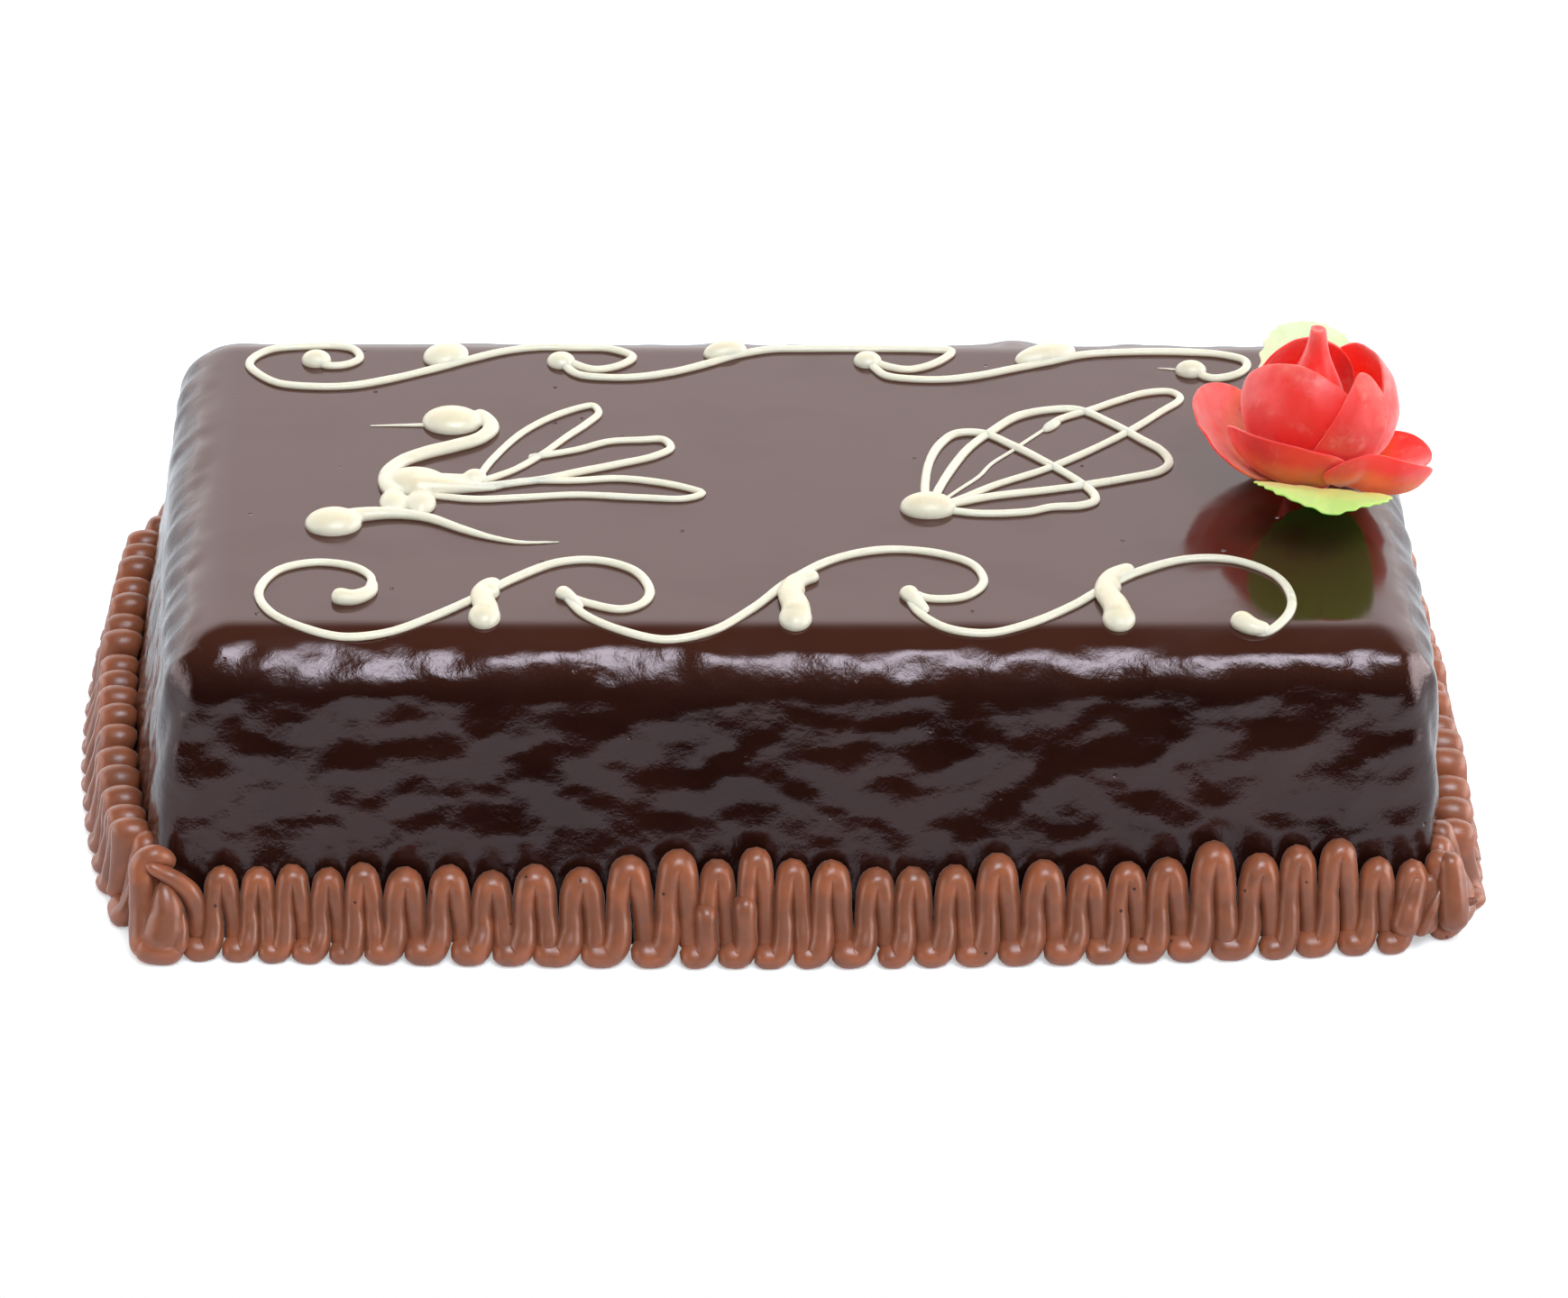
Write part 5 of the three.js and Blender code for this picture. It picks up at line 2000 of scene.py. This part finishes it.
@dataclass
class Studio:
    """A pale floor, soft light from behind and above, and the camera.

    The light comes from the surround: a bright backdrop low behind the cake, a strip overhead and
    a panel at each side. Each has one strength for matt surfaces and one for what is mirrored.
    Directions are shares of a unit vector, along x to the right, y to the back and z up.

    Attributes:
        camera_at: where the camera is, in metres.
        pitch: how far down it looks, in degrees.
        yaw: how far to the right it looks, in degrees.
        roll: how far it is rolled, in degrees.
        lens: its focal length, in millimetres.
        sensor: its sensor's width, in millimetres.
        far: how far it sees, in metres.
        floor_front: where the floor begins, in metres.
        floor_reach: how far it reaches to the back and to each side, in metres.
        floor_shade: how pale it is.
        floor_glow: how much it is brightened for the camera alone.
        backdrop: the backdrop's strength.
        backdrop_side: between which directions it begins behind the cake.
        backdrop_foot: between which it begins above the floor.
        backdrop_top: between which it ends above.
        left_flank: the left panel's strength on matt surfaces.
        right_flank: the same for the right panel.
        left_shine: the left panel's strength where it is mirrored.
        right_shine: the same for the right panel.
        left_edge: between which directions the left panel ends.
        right_edge: between which the right panel begins.
        fill: the faint light from everywhere on matt surfaces.
        fill_shine: the same where it is mirrored.
        strip_light: the strip's strength on matt surfaces.
        strip_shine: its strength where it is mirrored.
        strip_across: how far to the right its middle is.
        strip_half: between which distances from its middle it ends.
        strip_tint: its colour.
        strip_from: between which angles up from the front it begins, in radians.
        strip_to: between which it ends.
    """

    camera_at: Vector = field(default_factory=lambda: Vector((-0.0705, -1.23385, 0.7809)))
    pitch: float = 31.5
    yaw: float = 3.29
    roll: float = 1.79
    lens: float = 164.33
    sensor: float = 36.0
    far: float = 20.0
    floor_front: float = -0.173
    floor_reach: float = 3.0
    floor_shade: float = 0.86
    floor_glow: float = 0.42
    backdrop: float = 1.95
    backdrop_side: Point = (0.2, 0.6)
    backdrop_foot: Point = (-0.05, 0.0)
    backdrop_top: Point = (0.52, 0.84)
    left_flank: float = 0.0
    right_flank: float = 1.6
    left_shine: float = 3.4
    right_shine: float = 6.0
    left_edge: Point = (-0.96, -0.78)
    right_edge: Point = (0.72, 0.94)
    fill: float = 0.42
    fill_shine: float = 0.01
    strip_light: float = 9.2
    strip_shine: float = 12.0
    strip_across: float = 0.15
    strip_half: Point = (0.16, 0.34)
    strip_tint: Colour = (0.88, 1.04, 1.18)
    strip_from: Point = (0.62, 1.06)
    strip_to: Point = (1.08, 1.58)

    def build_camera(self) -> bpy.types.Object:
        """Places the camera at the viewing angle.

        Returns:
            The camera.
        """
        pitch, yaw, roll = (math.radians(angle) for angle in (self.pitch, self.yaw, self.roll))
        ahead = Vector((math.sin(yaw) * math.cos(pitch), math.cos(yaw) * math.cos(pitch),
                        -math.sin(pitch)))
        level = Vector((math.cos(yaw), -math.sin(yaw), 0))
        upright = level.cross(ahead)
        right = level * math.cos(roll) + upright * math.sin(roll)
        up = upright * math.cos(roll) - level * math.sin(roll)
        data = bpy.data.cameras.new("camera")
        data.lens = self.lens
        data.sensor_width = self.sensor
        data.clip_end = self.far
        camera = bpy.data.objects.new("camera", data)
        turn = Matrix((right, up, -ahead)).transposed().to_4x4()
        camera.matrix_world = Matrix.Translation(self.camera_at) @ turn
        bpy.context.scene.collection.objects.link(camera)
        bpy.context.scene.camera = camera
        return camera

    def build_floor(self) -> None:
        """Lays the pale floor."""
        bm = bmesh.new()
        bmesh.ops.create_grid(bm, x_segments=1, y_segments=1, size=self.floor_reach)
        for vert in bm.verts:
            vert.co.y = self.floor_front if vert.co.y < 0 else self.floor_reach
        mesh = bpy.data.meshes.new("floor")
        bm.to_mesh(mesh)
        bm.free()
        mat = Nodes("pale_floor")
        mat.set(Base_Color=(*[self.floor_shade] * 3, 1), Roughness=0.9, Specular_IOR_Level=0.0)
        seen = mat.add("ShaderNodeLightPath").outputs["Is Camera Ray"]
        mat.set(Emission_Color=(1, 1, 1, 1),
                Emission_Strength=mat.math("MULTIPLY", seen, self.floor_glow))
        mesh.materials.append(mat.material)
        floor = bpy.data.objects.new("floor", mesh)
        bpy.context.scene.collection.objects.link(floor)

    def build_light(self) -> None:
        """Sets the soft surround: a bright backdrop, a strip overhead and a dim front."""
        world = bpy.data.worlds.new("surround")
        bpy.context.scene.world = world
        world.use_nodes = True
        world.node_tree.nodes.clear()
        sky = Tree(world.node_tree)
        direction = sky.add("ShaderNodeTexCoord").outputs["Generated"]
        x, y, z = sky.add("ShaderNodeSeparateXYZ", Vector=direction).outputs
        path = sky.add("ShaderNodeLightPath")
        seen, mirrored = path.outputs["Is Camera Ray"], path.outputs["Is Glossy Ray"]

        def product(*values: object) -> bpy.types.NodeSocket:
            """Returns the product of some numbers or sockets."""
            return reduce(lambda a, b: sky.math("MULTIPLY", a, b), values)

        def strength(matt: float, shine: float) -> bpy.types.NodeSocket:
            """Returns one strength for matt surfaces and another for what is mirrored."""
            return sky.range(mirrored, 0, 1, matt, shine)

        backdrop = product(sky.range(y, *self.backdrop_side), sky.range(z, *self.backdrop_foot),
                           sky.range(z, *self.backdrop_top, 1.0, 0.0), self.backdrop)
        climb = sky.math("ARCTAN2", z, product(y, -1.0))
        off = sky.math("ABSOLUTE", sky.math("SUBTRACT", x, self.strip_across))
        overhead = product(sky.range(climb, *self.strip_from),
                           sky.range(climb, *self.strip_to, 1.0, 0.0),
                           sky.range(off, *self.strip_half, 1.0, 0.0),
                           strength(self.strip_light, self.strip_shine))
        left = product(sky.range(x, *self.left_edge, 1.0, 0.0),
                       strength(self.left_flank, self.left_shine))
        right = product(sky.range(x, *self.right_edge), strength(self.right_flank, self.right_shine))
        fill = strength(self.fill, self.fill_shine)
        grey = sky.math("ADD", sky.math("ADD", backdrop, sky.math("ADD", left, right)), fill)
        plain_white = sky.add("ShaderNodeMix")
        sky.feed(plain_white.inputs[0], seen)
        sky.feed(plain_white.inputs[2], grey)
        sky.feed(plain_white.inputs[3], 1.0)
        unseen = sky.math("SUBTRACT", 1.0, seen)
        cool = sky.add("ShaderNodeVectorMath", operation="SCALE", Scale=product(overhead, unseen))
        sky.feed(cool.inputs[0], self.strip_tint)
        whole = sky.add("ShaderNodeVectorMath", operation="ADD")
        sky.feed(whole.inputs[0], plain_white.outputs[0])
        sky.feed(whole.inputs[1], cool.outputs[0])
        glow = sky.add("ShaderNodeBackground", Color=whole.outputs[0])
        sky.add("ShaderNodeOutputWorld", Surface=glow.outputs[0])

    def build(self) -> None:
        """Builds the floor, the light and the camera."""
        self.build_camera()
        self.build_floor()
        self.build_light()
        view = bpy.context.scene.view_settings
        view.view_transform = "Standard"
        view.look = "None"


def main() -> None:
    """Builds the studio and every piece of the cake."""
    logging.basicConfig(level=logging.INFO, format="%(name)s: %(message)s")
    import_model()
    Studio().build()
    block = Block()
    block.build(GlazeFinish().material())
    cream = CreamFinish().material()
    even = partial(BorderRun.even, block=block, height=18.6)
    for run in (BorderRun(Side.FRONT, block, FRONT_CROWNS, FRONT_TOES, reach=9.8, seed=3, deep=0.25),
                even(Side.RIGHT, loops=16, half=58.0, reach=10.2, seed=5),
                even(Side.BACK, loops=30, half=117.0, reach=9.8, seed=7),
                even(Side.LEFT, loops=17, half=60.0, reach=8.6, seed=9)):
        run.build(cream)
    for turn in (BorderCorner(Corner.FRONT_LEFT, block, folds=SWIRL,
                              turns=((0.0, 18.2), (0.36, 17.4), (0.8, 14.0))),
                 BorderCorner(Corner.FRONT_RIGHT, block, folds=FAT_LEG,
                              turns=((0.72, 18.6), (1.0, 19.4))),
                 BorderCorner(Corner.BACK_RIGHT, block), BorderCorner(Corner.BACK_LEFT, block)):
        turn.build(cream)
    white = PipingFinish().material()
    for figure in (front_scrolls, back_scrolls, piped_bird, piped_fan):
        figure(block).build(white)
    rose = Rose(block)
    rose.build(PetalFinish().material())
    green = LeafFinish().material("wafer_leaf")
    # Painted light: the back leaf's colours are paled for the strong light that washes it out.
    pale = LeafFinish(edge=(0.68, 0.90, 0.46), middle=(0.82, 0.88, 0.52)).material("overlit_pale_leaf")
    for leaf, finish in ((Leaf("leaf_front", azimuth=-90.2, rim=13.7, droop=1.6, tilt=-1.6,
                               length=34.0), green),
                         (Leaf("leaf_back", azimuth=87, rim=18.6, half_width=10.4), pale)):
        Wafer(leaf.node, rose.from_axis(leaf.place), thickness=0.45, wrinkle=0.5, cells=44,
              seed=leaf.rim).build("wafer_leaf", finish)


if __name__ == "__main__":
    main()
